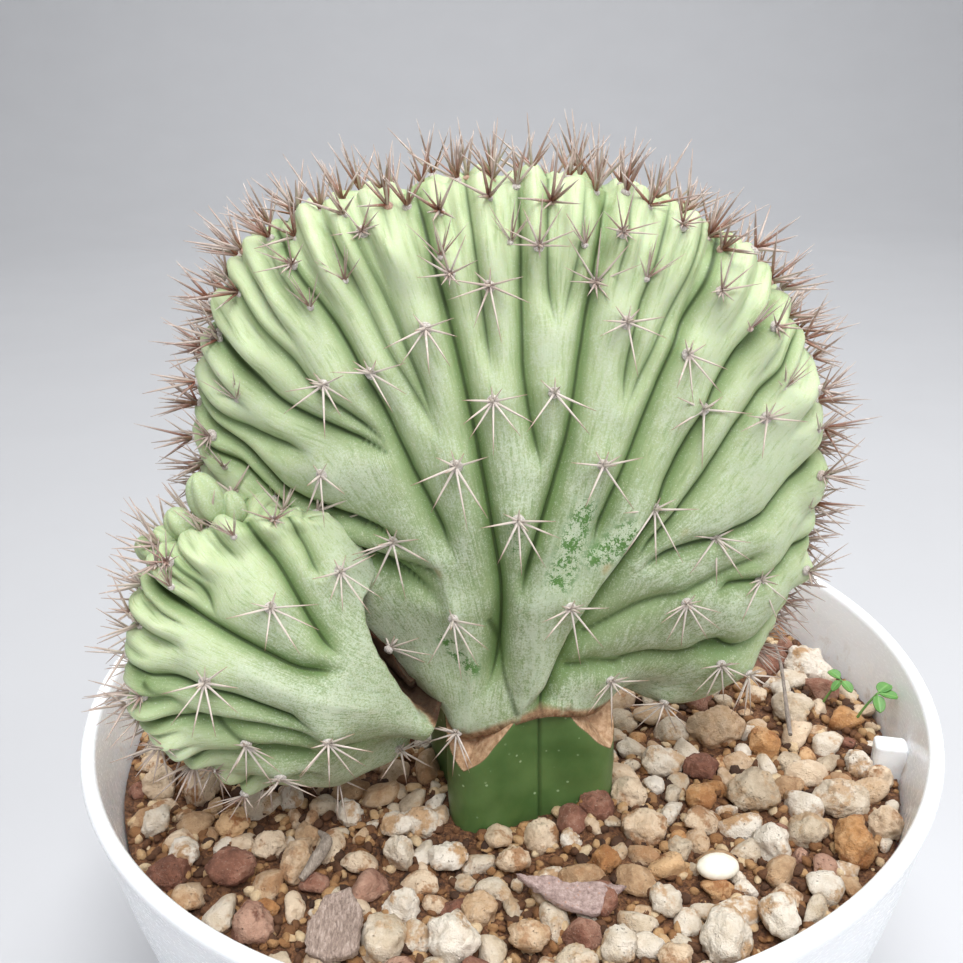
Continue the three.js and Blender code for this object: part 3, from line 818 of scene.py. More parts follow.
def follow_grooves(fan, w, s, side):
    """Shares across the ribs moved so that the mesh's columns run along the grooves."""
    share = w if side == FRONT else 1 - w
    moved = share.copy()
    last_top, last_course = 0.0, np.zeros_like(s)
    for groove in [*sorted(fan["grooves"]), (1.0, 0, 0, 1, 1)]:
        course = np.maximum(course_of(groove, s)[0], last_course + 0.3 * (groove[0] - last_top))
        inside = (share > last_top) & (share <= groove[0])
        part = (share - last_top) / (groove[0] - last_top)
        moved = np.where(inside, last_course + part * (course - last_course), moved)
        last_top, last_course = groove[0], course
    return moved if side == FRONT else 1 - moved


def groove_field(fan, w, s, side, across, along):
    """Depth of the grooves in millimetres, and nearness to a groove's own line."""
    share = w if side == FRONT else 1 - w
    turn_sign = 1 if side == FRONT else -1
    wide = np.sum(across * across, axis=1)
    skew = np.sum(across * along, axis=1)
    tall = np.sum(along * along, axis=1)
    depth = np.zeros_like(w)
    line = np.zeros_like(w)
    for groove in with_top_grooves(fan):
        start, strength = groove[1], groove[4]
        course, slope = course_of(groove, s)
        slope = slope * turn_sign
        along_way = np.maximum(tall + 2 * slope * skew + slope**2 * wide, 1e-9)
        reach = np.sqrt(np.maximum(wide - (skew + slope * wide) ** 2 / along_way, 1))
        away = np.abs(share - course) * reach
        onset = smooth((s - start + 0.02) / 0.1) if start else 1
        depth += (onset * groove_shape(away, 1.0 + 2.7 * strength)) ** 3
        line = np.maximum(line, strength**0.5 * onset * np.exp(-((away / 0.34) ** 2)))
    return depth ** (1 / 3), line


def fold_field(fan, plain, side):
    """Depth of the creases less the height of the keels, and nearness to a crease's line."""
    depth = np.zeros(len(plain))
    line = np.zeros(len(plain))
    for track, most in fan["creases"]:
        away = track_gap(plain, spots_on(fan, track, side))
        depth += groove_shape(away, most * 1.4, 0.5)
        line = np.maximum(line, 0.7 * np.exp(-((away / 0.6) ** 2)))
    for track, most in fan["keels"]:
        away = track_gap(plain, spots_on(fan, track, side))
        depth -= most * np.exp(-np.sqrt(away**2 + 0.16) / 1.7)
    return depth, line


def meeting(w, s):
    """One where the two faces of a fan meet, at the crest and at the outermost ribs."""
    return np.maximum(smooth((s - 0.93) / 0.07), smooth(1 - np.minimum(w, 1 - w) / 0.03))


def shared(meet, own, other):
    """Own values on a face, and the mean of both faces' where they meet."""
    return own * (1 - meet / 2) + other * meet / 2


def fingertips(fan, w, s, half):
    """Knuckles along the crest, with the growing line sunk between the faces."""
    count = round(fan["half"][0] * 0.8)
    wave = np.abs(np.cos(np.pi * count * w + 2.1 * np.sin(19 * w))) ** 0.7
    rise = 1.6 * (wave - 0.3) * smooth((s - 0.82) / 0.08)
    knuckle = 1.2 * wave * np.exp(-(((s - 0.9 - 0.02 * np.sin(43 * w)) / 0.05) ** 2))
    sunk = 2.2 * np.exp(-((half / 3.2) ** 2)) * smooth(fan["thickness"] * (w * (1 - w)) * 0.6)
    return (rise + knuckle) * smooth(np.minimum(w, 1 - w) / 0.13) - sunk


def nearness(places, spots, width):
    """How near each place is to any of some spots, from 0 to 1."""
    near = np.zeros(len(places))
    for spot in spots:
        gap = np.sum((places - spot) ** 2, axis=1)
        near = np.maximum(near, np.exp(-gap / width**2))
    return near


def track_gap(places, spots):
    """How far each place is from a track drawn through spots."""
    gap = np.full(len(places), 1e9)
    for start, end in zip(spots, spots[1:]):
        run = end - start
        share = np.clip((places - start) @ run / (run @ run), 0, 1)
        gap = np.minimum(gap, np.linalg.norm(places - start - share[:, None] * run, axis=1))
    return gap


def spots_on(fan, pairs, side):
    w, s = np.array(pairs).T
    return fan_points(fan, w if side == FRONT else 1 - w, s, side)


def fan_surface(fan, w, s, side):
    """Finished places of the skin, their outward directions, and the traits that colour it."""
    plain = fan_points(fan, w, s, side)
    out, across, along = fan_frames(fan, w, s, side)
    other_out, other_across, other_along = fan_frames(fan, w, s, -side)
    meet = meeting(w, s)
    out = unit(shared(meet[:, None], out, other_out))
    depth, line = groove_field(fan, w, s, side, across, along)
    other_depth, other_line = groove_field(fan, w, s, -side, other_across, other_along)
    fold, fold_line = fold_field(fan, plain, side)
    depth = shared(meet, depth, other_depth) + fold * (1 - meet)
    line = np.maximum(shared(meet, line, other_line), fold_line * (1 - meet))
    half = np.linalg.norm(plain - fan_points(fan, w, s, -side), axis=1) / 2
    swell = nearness(plain, spots_on(fan, fan["areoles"], side), 2.8)
    lift = 0.9 * swell * (1 - meet) + fingertips(fan, w, s, half)
    lift += 0.35 * ripple(plain, 8) + 0.12 * ripple(plain, 2.2)
    hollow = hollow_field(fan, w, s, plain)
    lift -= 6.5 * hollow
    foot = smooth(s / 0.04)
    places = plain + out * ((lift - depth) * foot)[:, None]
    for spot, shift, width in fan["pushes"]:
        near = nearness(plain, spots_on(fan, [spot], FRONT), width)
        places += near[:, None] * np.array(shift)
    traits = {"valley": depth / 3.4, "line": line, "age": s, "hollow": hollow}
    return places, out, traits


def hollow_field(fan, w, s, plain):
    """One inside the cleft, below the edge that the fan's hollow line gives, with a steep side."""
    if "hollow" not in fan:
        return np.zeros_like(w)
    line_w, line_s = np.array(fan["hollow"]).T
    ragged = 0.02 * ripple(plain, 2.4)
    return smooth((np.interp(w, line_w, line_s, right=-1) - s + ragged) / 0.11)


def fan_layout(u, v, cap):
    """Share of the crest, share up the rib, and face, of a skin that goes round both faces."""
    side = np.where(u < 0.5, BACK, FRONT)
    w = np.where(u < 0.5, 2 * u, 2 - 2 * u)
    t = np.clip((v - cap) / (1 - cap), 0, 1)
    return w, 1 - (1 - t) ** 1.5, side, np.clip(v / cap, 0, 1)


def fan_skin(name, fan, columns, rows, marks):
    """The whole closed skin of a fan, with its flat cut base."""

    def shape(u, v):
        w, s, side, from_middle = fan_layout(u, v, 4 / rows)
        places = np.empty((len(u), 3))
        traits = {}
        for face in (FRONT, BACK):
            chosen = side == face
            own_s = s[chosen]
            own_w = follow_grooves(fan, w[chosen], own_s, face)
            found, _, colours = fan_surface(fan, own_w, own_s, face)
            colours.update(marks(fan, own_w, own_s, face, found), share=w[chosen])
            places[chosen] = found
            for trait, values in colours.items():
                traits.setdefault(trait, np.zeros(len(u)))[chosen] = values
        middle = np.array(fan["base"])
        return middle + (places - middle) * from_middle[:, None], traits

    return skin(name, columns, rows, shape)


def main_marks(fan, w, s, face, places):
    """Rubbed tracks and scars on the front, and a corky rim where the fan meets the rootstock."""
    rubbed = np.zeros_like(w)
    scar = np.zeros_like(w)
    if face == FRONT:
        for start, end, width in RUBBED:
            ends = fan_points(fan, *np.array([start, end]).T, FRONT)
            gap = track_gap(places, ends)
            rubbed = np.maximum(rubbed, 1 - smooth((gap - 0.4 * width) / width))
        for mark_w, mark_s, size in SCARS:
            spot = fan_points(fan, np.array([mark_w]), np.array([mark_s]), FRONT)
            scar = np.maximum(scar, nearness(places, spot, size * 0.8))
    ragged = 0.012 * ripple(places, 1.5)
    cork = 1 - smooth((s - 0.012 + ragged) / 0.012)
    return {"rubbed": rubbed, "scar": scar**2, "cork": cork}


def lobe_marks(fan, w, s, face, places):
    """The corky lining of the cleft."""
    cork = smooth(hollow_field(fan, w, s, places) / 0.35)
    return {"rubbed": np.zeros_like(w), "scar": np.zeros_like(w), "cork": cork}


def build_offsets(lobe):
    """Round young tips on the lobe's crest, each pulled to a blunt point, joined to the lobe."""
    tips = []
    for w, height, half_sizes in OFFSETS:
        places, out, _ = fan_surface(SIDE_LOBE, np.array([w]), np.array([1.0]), FRONT)
        drop_selection()
        bpy.ops.mesh.primitive_uv_sphere_add(segments=48, ring_count=32, radius=MM)
        tip = bpy.context.object
        ball = places_of(tip.data)
        angle = np.arctan2(ball[:, 1], ball[:, 0])
        from_axis = np.sqrt(1 - np.clip(ball[:, 2], -1, 1) ** 2)
        ribs = 1 - 0.2 * (1 - np.abs(np.cos(2.5 * angle))) * from_axis
        ball = ball * ribs[:, None] * np.array(half_sizes) * (1 + 0.04 * ripple(ball, 0.9))[:, None]
        heading = np.array(Vector(out[0]).to_track_quat("Z", "Y").to_matrix())
        move_vertices(tip.data, ball @ heading.T + places[0] + out[0] * height)
        for trait, value in {"age": 0.7, "valley": 0.25}.items():
            add_trait(tip.data, trait, [value] * len(tip.data.vertices))
        bpy.ops.object.shade_smooth()
        tips.append(tip)
    join(tips, lobe)


# ---------------------------------------------------------------- spines


def needle_model():
    """One needle, a millimetre long and 0.21 in radius, drawn out of a ring in three steps."""
    drop_selection()
    bpy.ops.mesh.primitive_circle_add(vertices=5, radius=0.21 * MM, fill_type="NGON")
    obj = bpy.context.object
    bpy.ops.object.mode_set(mode="EDIT")
    bpy.ops.mesh.select_all(action="SELECT")
    for width, bend in ((0.86, 0.01), (0.72, 0.03), (0.22, 0.06)):
        step = (bend * MM, 0, MM / 3)
        bpy.ops.mesh.extrude_region_move(TRANSFORM_OT_translate={"value": step})
        bpy.ops.transform.resize(value=(width, width, 1))
    bpy.ops.object.mode_set(mode="OBJECT")
    close_up(obj, 0.001)
    add_trait(obj.data, "own_along", places_of(obj.data)[:, 2])
    return settle(obj, "needle_model")


def pad_model():
    """One pad of wool, a lumpy low dome a millimetre in radius."""
    drop_selection()
    bpy.ops.mesh.primitive_ico_sphere_add(subdivisions=2, radius=MM)
    obj = bpy.context.object
    places = places_of(obj.data)
    move_vertices(obj.data, places * (1 + 0.16 * ripple(places, 0.5))[:, None])
    return settle(obj, "pad_model")


def needle_frame(at, direction, length, thickness, roll):
    """The place, heading and size of one needle."""
    heading = direction.to_track_quat("Z", "Y").to_matrix().to_4x4()
    size = Matrix.Diagonal((thickness, thickness, length, 1))
    return Matrix.Translation(at) @ heading @ Matrix.Rotation(roll, 4, "Z") @ size


# The tips of the crest spines stay below this height.
SPINE_TOP = (cad_box[1].z - cad_box[0].z) / MM * 1.026
# Spines of a face cluster: direction in degrees from straight down, and length.
FAN_OF_SPINES = [(2, 7.6), (34, 7.0), (-33, 6.6), (66, 6.2), (-70, 6.4), (100, 5.4), (-98, 5.6)]
SHORT_SPINES = [(140, 2.8), (-138, 3.0), (180, 2.6)]


def face_cluster(at, out, up_rib, young, chance):
    """Spines of a face cluster: the long ones spread down and to the sides, or up near the crest."""
    down = (Vector((0, 0, -0.75)) - up_rib * 0.45) * (-1 if young > 0.45 else 1)
    down = (down - out * down.dot(out)).normalized()
    aside = out.cross(down)
    size = chance.uniform(0.9, 1.12) * (1 - 0.2 * young)
    frames = []
    for angle, length in FAN_OF_SPINES + SHORT_SPINES:
        if chance.random() < 0.2:
            continue
        around = math.radians(angle + chance.uniform(-9, 9))
        tilt = math.radians(chance.uniform(17, 33) + 14 * young)
        flat = down * math.cos(around) + aside * math.sin(around)
        heading = flat * math.cos(tilt) + out * math.sin(tilt)
        reach = length * size * chance.uniform(0.88, 1.08)
        width = chance.uniform(0.78, 1.0) * (1 - 0.2 * young)
        frames.append(needle_frame(at, heading, reach, width, chance.uniform(0, TURN)))
    middle = out + down * chance.uniform(-0.5, 0.1) + aside * chance.uniform(-0.4, 0.4)
    frames.append(needle_frame(at, middle.normalized(), 3.6 * size, 1.1, chance.uniform(0, TURN)))
    return frames


def crest_cluster(at, out, count, chance):
    """Spines of a young crest cluster: a dense tuft that points outwards."""
    frames = []
    for i in range(count):
        around = TURN * i / count + chance.uniform(-0.4, 0.4)
        tilt = math.radians(chance.uniform(5, 58))
        side = out.orthogonal().normalized()
        flat = Matrix.Rotation(around, 3, out) @ side
        heading = (out * math.cos(tilt) + flat * math.sin(tilt)).normalized()
        reach = chance.uniform(4.2, 6.5) + 2.6 * chance.random() ** 3
        over = at.z + heading.z * reach - SPINE_TOP
        if over > 0:
            reach -= over / heading.z
        width = chance.uniform(0.78, 1.1) + 0.4 * chance.random() ** 3
        frames.append(needle_frame(at, heading, reach, width, chance.uniform(0, TURN)))
    return frames


def shoulder_cluster(at, out, chance):
    """Thin dark spines of a cluster just under the crest, fanned upwards and outwards."""
    frames = []
    aside = out.cross(Vector((0, 0, 1))).normalized()
    for _ in range(chance.randint(6, 8)):
        lean = chance.uniform(-1.1, 1.1)
        flat = Vector((0, 0, 1)) * math.cos(lean) + aside * math.sin(lean)
        heading = (flat + out * chance.uniform(0.25, 0.9)).normalized()
        reach = chance.uniform(3.4, 6.2)
        frames.append(needle_frame(at, heading, reach, 0.62, chance.uniform(0, TURN)))
    return frames


def cluster_sites(fan, pairs, side):
    """Places, outward directions and ways up the rib of clusters on a finished skin."""
    w, s = np.array(pairs, float).T
    if side == BACK:
        w = 1 - w
    places, out, _ = fan_surface(fan, w, s, side)
    up_rib = unit(fan_frames(fan, w, s, side)[2])
    return [(Vector(p), Vector(o), Vector(u)) for p, o, u in zip(places, out, up_rib)]


def crest_pairs(fan, spacing, low, chance):
    """Clusters along the crest from a share up the rib, a spacing in millimetres apart or so."""
    length = 0.5 * (fan["half"][0] + fan["half"][1]) * math.radians(fan["ends"][1] - fan["ends"][0])
    count = round(1.12 * length / spacing)
    pairs = uneven_row(count, 0.3, (low, 1), chance)
    return [pair for pair in pairs if pair[0] > fan["tufts_from"]]


def uneven_row(count, stray, heights, chance):
    """Shares across and up the ribs of a row of clusters, each a little off its even place."""
    row = []
    for i in range(count):
        across = (i + 0.5 + chance.uniform(-stray, stray)) / count
        row.append((across, chance.uniform(*heights)))
    return row


class Bristle:
    """The needles and wool pads of one fan as they are set, each with how young it is."""

    def __init__(self, chance):
        self.chance = chance
        self.needles, self.needle_young = [], []
        self.pads, self.pad_young = [], []

    def add_cluster(self, made, young):
        self.needles += made
        self.needle_young += [young] * len(made)

    def add_pad(self, at, out, height, width, young):
        self.pads.append(needle_frame(at, out, height, width, self.chance.uniform(0, TURN)))
        self.pad_young.append(young)

    def piece(self, name, model, frames, young, finish, *nodes):
        """One piece with a copy of the model at each frame, each of its own tone."""
        tones = [self.chance.random() for _ in frames]
        made = stamped(name, model, frames, {"young": young, "tone": tones})
        dress(made, FINISHES[finish], "spines", *nodes)


def set_face_clusters(bristle, fan):
    """The clusters that stand at the fan's own areoles."""
    chance = bristle.chance
    for side in (FRONT, BACK):
        for (at, out, up_rib), (_, s) in zip(cluster_sites(fan, fan["areoles"], side), fan["areoles"]):
            young = float(smooth((s - 0.72) / 0.25))
            made = face_cluster(at + out * 0.3, out, up_rib, young, chance)
            bristle.add_cluster(made, young * 0.8)
            bristle.add_pad(at, out, 0.55, chance.uniform(0.75, 0.95), young * 0.5)


def set_crest_clusters(bristle, fan):
    """Tufts in a row on either face of the crest, and a thinner row along its very top."""
    chance, rust = bristle.chance, fan["rust"]
    for side, spacing, low in ((FRONT, 1, 0.94), (BACK, 1, 0.94), (FRONT, 1.3, 0.997)):
        row = crest_pairs(fan, spacing * fan["spacing"], low, chance)
        for at, out, _ in cluster_sites(fan, row, side):
            made = crest_cluster(at + out * 0.1, out, chance.randint(*fan["tuft"]), chance)
            bristle.add_cluster(made, rust)
            bristle.add_pad(at - out * 0.15, out, 0.5, chance.uniform(0.5, 0.8), rust)


def set_shoulder_clusters(bristle, fan):
    """Clusters just under the crest, on both faces."""
    for side in (FRONT, BACK):
        row = uneven_row(fan["shoulders"], 0.35, (0.86, 0.93), bristle.chance)
        for at, out, _ in cluster_sites(fan, row, side):
            bristle.add_cluster(shoulder_cluster(at, out, bristle.chance), 0.75)
            bristle.add_pad(at - out * 0.1, out, 0.4, 0.5, 0.6)


def plant_spines(name, fan, needle, pad, seed, nodes):
    """All spines and wool pads of one fan, as a piece of needles and a piece of wool."""
    bristle = Bristle(random.Random(seed))
    set_face_clusters(bristle, fan)
    set_crest_clusters(bristle, fan)
    set_shoulder_clusters(bristle, fan)
    bristle.piece(name + "_spines", needle, bristle.needles, bristle.needle_young, "spines", *nodes)
    bristle.piece(name + "_wool", pad, bristle.pads, bristle.pad_young, "wool")


# ---------------------------------------------------------------- pot, grit and rootstock


def pot_radius(z):
    """The bowl's outer radius at a height."""
    depth = RIM_Z - z
    return RIM_R - 0.15 * depth - 3.4e-5 * depth**3


def arc(centre_r, centre_z, radius, first, last, count):
    """Points of a rounded edge in a profile, from one angle to another in degrees."""
    angles = np.radians(np.linspace(first, last, count))
    return [(centre_r + radius * math.cos(a), centre_z + radius * math.sin(a)) for a in angles]


def pot_profile():
    outside = [(pot_radius(z), z) for z in np.linspace(5, RIM_Z - 2.6, 16)]
    inside = [(pot_radius(z) - WALL, z) for z in np.linspace(RIM_Z - 2.6, 9.5, 16)]
    lip_r = WALL / 2
    lip = arc(RIM_R - lip_r, RIM_Z - lip_r, lip_r, 0, 180, 9)
    inner_r = pot_radius(8) - WALL
    return [
        (0, FOOT_LIFT),
        (FOOT_R - FOOT_WIDTH - 0.8, FOOT_LIFT),
        *arc(FOOT_R - FOOT_WIDTH + 0.6, 0.6, 0.6, 180, 270, 4),
        *arc(FOOT_R - 0.8, 0.8, 0.8, 270, 330, 4),
        (FOOT_R + 2.4, 3),
        *outside,
        *lip,
        *inside,
        (inner_r - 1.2, FLOOR_Z + 1.2),
        (inner_r - 3.4, FLOOR_Z + 0.25),
        (inner_r - 5.5, FLOOR_Z),
        (0, FLOOR_Z),
    ]


def drain_cutters():
    """Six plugs in a ring, joined, which cut the drain holes."""
    plugs = []
    for i in range(DRAIN_COUNT):
        angle = TURN * i / DRAIN_COUNT
        at = Vector((DRAIN_CIRCLE_R * math.cos(angle), DRAIN_CIRCLE_R * math.sin(angle), 3)) * MM
        size = {"vertices": 24, "radius": DRAIN_R * MM, "depth": 12 * MM}
        drop_selection()
        bpy.ops.mesh.primitive_cylinder_add(location=at, **size)
        plugs.append(bpy.context.object)
    join(plugs[1:], plugs[0])
    return settle(plugs[0], "drain_plugs")


def pot_lug(angle):
    """One hook block inside the wall: a block with its edges rounded."""
    depth, width, height = LUG_SIZE
    outer = pot_radius(LUG_TOP - height / 2) - WALL + 0.9
    drop_selection()
    bpy.ops.mesh.primitive_cube_add(size=1)
    lug = bpy.context.object
    lug.scale = (depth * MM, width * MM, height * MM)
    settle(lug, "lug")
    lug.location = ((outer - depth / 2) * MM, 0, (LUG_TOP - height / 2) * MM)
    settle(lug, "lug")
    apply_modifier(lug, "BEVEL", width=0.7 * MM, segments=3)
    lug.rotation_euler = (0, 0, math.radians(angle))
    return settle(lug, "lug")


def build_pot():
    bowl = turned("pot_bowl", pot_profile(), POT_STEPS)
    plugs = drain_cutters()
    apply_modifier(bowl, "BOOLEAN", operation="DIFFERENCE", object=plugs, solver="EXACT")
    discard(plugs)
    join([pot_lug(angle) for angle in LUG_ANGLES], bowl)
    places = places_of(bowl.data)
    radius = np.hypot(places[:, 0], places[:, 1])
    within = smooth((pot_radius(places[:, 2]) - 0.7 * WALL - radius) / 0.5)
    wet = 1 - smooth((places[:, 2] - SOIL_Z - 1) / 6)
    add_trait(bowl.data, "soil_mark", within * wet)
    pick(bowl)
    bpy.ops.object.shade_smooth_by_angle(angle=math.radians(40))
    dress(bowl, FINISHES["pot"], SLOTS["pot"], "pot")


def soil_height(x, y):
    """How high the grit stands: low humps, a heap before the stump, and a dip at the wall."""
    humps = 0.9 * ripple(np.stack([x, y, np.zeros_like(x)], -1), 17, 2)
    heap = HEAP_HEIGHT * np.exp(-((x - HEAP_X) ** 2 + (y - HEAP_Y) ** 2) / HEAP_R**2)
    return SOIL_Z - 0.9 + humps + heap - 0.8 * smooth((np.hypot(x, y) - SOIL_R + 8) / 8)


def soil_at(x, y):
    """How high the grit stands at one place."""
    return float(soil_height(np.array([x]), np.array([y]))[0])


def build_grit():
    """The filling: a crumbly top, then down the bowl's wall and in under it."""
    top_share = 0.78

    def shape(u, v):
        angle = TURN * u
        t = np.clip(v / top_share, 0, 1)
        radius = (SOIL_R - 0.1) * (0.02 + 0.98 * t)
        x, y = radius * np.cos(angle), radius * np.sin(angle)
        flat = np.stack([x, y, np.zeros_like(x)], -1)
        crumbs = 0.55 * np.abs(ripple(flat, 2.3, 3)) + 0.4 * ripple(flat, 1.1, 4)
        z = soil_height(x, y) + crumbs
        down = np.clip((v - top_share) / (0.93 - top_share), 0, 1)
        low_z = FLOOR_Z + 0.4
        z = np.where(v > top_share, z + (low_z + 5 - z) * down, z)
        wall = np.minimum(pot_radius(z) - WALL - 0.4, SOIL_R - 0.1)
        under = np.clip((v - 0.93) / 0.07, 0, 1)
        radius = np.where(v > top_share, wall * (1 - under), radius)
        z = np.where(under > 0, low_z + 5 * np.clip(1 - 8 * under, 0, 1), z)
        radius = np.where(v < 1e-6, 0, radius)
        return np.stack([radius * np.cos(angle), radius * np.sin(angle), z], -1), {}

    bed = skin("grit_bed", 360, 130, shape)
    dress(bed, FINISHES["grit"], SLOTS["grit"], "grit")


def rib_wave(angle):
    """One on a rib of the rootstock and nought in a valley."""
    return 0.5 + 0.5 * np.cos(STOCK_RIBS * (angle - STOCK_FIRST_RIB))


def rib_radius(angle):
    return STOCK_VALLEY + (STOCK_RIDGE - STOCK_VALLEY) * rib_wave(angle) ** 1.15


def build_rootstock():
    """The ribbed stump: a ribbed column cut to a cone at its top, where the ribs show dry cuts."""
    foot, top = STOCK_TOP - 30, STOCK_TOP + 2

    def shape(u, v):
        angle = TURN * u
        wave = rib_wave(angle)
        rib_r = rib_radius(angle)
        furrow = np.exp(-(((np.arccos(np.clip(2 * wave - 1, -1, 1)) - np.pi) / 0.07) ** 2))
        side_share = np.clip(v / 0.8, 0, 1)
        z = foot + (top - foot) * side_share
        off_rib = np.arccos(np.clip(2 * wave - 1, -1, 1)) / np.pi
        cone_r = CUT_TOP_R + (CUT_LOW_R - CUT_TOP_R) * (top - 1 - z) / CUT_DROP + 9 * off_rib
        places = np.stack([np.cos(angle), np.sin(angle), z / 14], -1) * 14
        ragged = 0.35 * ripple(places, 3, 5)
        radius = np.minimum(rib_r - 0.5 * furrow, cone_r + ragged)
        cut = smooth((rib_r - cone_r - ragged + 0.25) / 0.5)
        radius = radius + 0.15 * ripple(places, 4, 6)
        inward = 1 - np.clip((v - 0.8) / 0.2, 0, 1)
        x = STOCK_X + radius * inward * np.cos(angle)
        y = STOCK_Y + radius * inward * np.sin(angle)
        traits = {"cut": cut, "furrow": furrow * (1 - cut), "height": side_share}
        return np.stack([x, y, z], -1), traits

    stump = skin("rootstock_stump", 360, 200, shape)
    dress(stump, FINISHES["stock"], SLOTS["rootstock"], "rootstock")


# ---------------------------------------------------------------- stones


def copy_of_node(node, name):
    """A new piece from a CAD node's mesh, merged. The node itself is left alone."""
    mesh = frame["nodes"][node].data.copy()
    obj = bpy.data.objects.new(name, mesh)
    obj.data.name = name
    bpy.context.scene.collection.objects.link(obj)
    close_up(obj, 0.01)
    return obj


def clouds_texture(size):
    texture = bpy.data.textures.new(f"clouds_{size}", "CLOUDS")
    texture.noise_scale = size * MM
    texture.noise_depth = 3
    return texture


def roughen(obj, voxel, rounds, big, small):
    """A coarse solid becomes a worn stone: remeshed, rounded off and pitted."""
    apply_modifier(obj, "REMESH", mode="VOXEL", voxel_size=voxel * MM)
    apply_modifier(obj, "SMOOTH", factor=0.5, iterations=rounds)
    for size, strength in (big, small):
        apply_modifier(
            obj,
            "DISPLACE",
            texture=clouds_texture(size),
            texture_coords="LOCAL",
            strength=strength * MM,
            mid_level=0.5,
        )
    pick(obj)
    bpy.ops.object.shade_smooth()


def chip(obj, chance, count, keep):
    """Flat chips are cut off a stone at random sides."""
    places = places_of(obj.data)
    middle = places.mean(axis=0)
    half = (places.max(axis=0) - places.min(axis=0)) / 2
    pick(obj)
    bpy.ops.object.mode_set(mode="EDIT")
    for _ in range(count):
        way = Vector([chance.gauss(0, 1) for _ in range(3)]).normalized()
        reach = float(np.linalg.norm(half * np.array(way))) * chance.uniform(*keep)
        bpy.ops.mesh.select_all(action="SELECT")
        at = (Vector(middle) + way * reach) * MM
        bpy.ops.mesh.bisect(plane_co=at, plane_no=way, use_fill=True, clear_outer=True)
    bpy.ops.object.mode_set(mode="OBJECT")


def build_stones():
    """The large stones, each from its CAD solid, chipped and worn."""
    stones = {}
    for node in sorted(name for name in frame["nodes"] if name.startswith("pebble_")):
        chance = random.Random(node)
        stone = copy_of_node(node, node.replace("pebble", "stone"))
        chip(stone, chance, 9, (0.66, 0.9))
        roughen(stone, 0.4, 2, (3.0, 1.5), (0.8, 0.8))
        add_trait(stone.data, "tone", [chance.random()] * len(stone.data.vertices))
        dress(stone, FINISHES[SLOTS[node]], SLOTS[node], node)
        stones[node] = stone
    return stones


# Further large stones: place, half size and colour.
EXTRA_STONES = [
    (52.9, -23.8, 3.4, "cream"), (40.0, -32.7, 3.3, "cream"), (52.4, -32.8, 3.6, "orange"),
    (58.4, -28.4, 3.0, "tan"), (58.6, 15.6, 4.2, "cream"), (59.0, -13.8, 2.6, "cream"),
    (61.5, 13.8, 2.6, "cream"), (-50.9, -38.0, 3.3, "maroon"), (-31.7, -35.9, 3.1, "tan"),
    (-17.6, -50.4, 3.4, "cream"), (-15.6, -44.1, 2.7, "cream"), (8.6, -54.4, 2.8, "cream"),
    (12.5, -26.5, 2.2, "orange"), (-37.0, -31.9, 2.6, "tan"), (32.5, -15.3, 2.8, "maroon"),
    (46.0, -29.0, 3.4, "cream"), (44.6, -8.6, 3.0, "orange"), (25.6, -33.5, 2.0, "cream"),
    (19.4, -22.6, 2.9, "tan"), (13.9, -26.2, 2.9, "maroon"), (5.0, -31.4, 2.7, "tan"),
    (9.4, -32.2, 1.7, "cream"), (61.4, -17.4, 2.3, "tan"), (-13.8, -27.4, 2.6, "cream"),
    (-4.4, -44.6, 2.6, "tan"), (-10.6, -58.4, 3.0, "cream"), (46.8, 22.0, 3.6, "maroon"),
]


def again(name, source, x, y, half, chance):
    """A worn stone used again at another place, turned and sized."""
    mesh = source.data.copy()
    obj = bpy.data.objects.new(name, mesh)
    bpy.context.scene.collection.objects.link(obj)
    places = places_of(mesh)
    low, high = places.min(axis=0), places.max(axis=0)
    scale = half / (0.5 * float(np.sort(high - low)[1]))
    turn = Matrix.Rotation(chance.uniform(0, TURN), 3, "Z")
    tilt = Matrix.Rotation(chance.uniform(-0.6, 0.6), 3, "X")
    moved = (places - (low + high) / 2) @ np.array(turn @ tilt).T * scale
    move_vertices(mesh, moved + np.array([x, y, soil_at(x, y) - 0.45 * moved[:, 2].min()]))
    return obj


def build_extra_stones(stones):
    sources = list(stones.values())
    for i, (x, y, half, colour) in enumerate(EXTRA_STONES):
        chance = random.Random(100 + i)
        stone = again(f"stone_extra_{i + 1:02d}", chance.choice(sources), x, y, half, chance)
        dress(stone, FINISHES["pebble_" + colour], "pebble_" + colour)


def gravel_model(name, seed, subdivisions):
    """One small stone, a millimetre in half size: a ball with chips cut off, then rounded."""
    chance = random.Random(seed)
    drop_selection()
    bpy.ops.mesh.primitive_ico_sphere_add(subdivisions=subdivisions, radius=MM)
    obj = bpy.context.object
    places = unit(places_of(obj.data))
    radius = np.full(len(places), 1.05)
    for _ in range(10):
        way = np.array(Vector([chance.gauss(0, 1) for _ in range(3)]).normalized())
        flat = chance.uniform(0.62, 0.95) / np.maximum(places @ way, 0.05)
        radius = -np.log(np.exp(-16 * radius) + np.exp(-16 * flat)) / 16
    stretch = np.array([chance.uniform(1, 1.3), chance.uniform(0.8, 1), chance.uniform(0.65, 0.85)])
    bumps = 1.06 + 0.12 * ripple(places, 0.55, seed) + 0.06 * ripple(places, 0.22, seed)
    move_vertices(obj.data, places * (radius * bumps)[:, None] * stretch)
    return settle(obj, name)


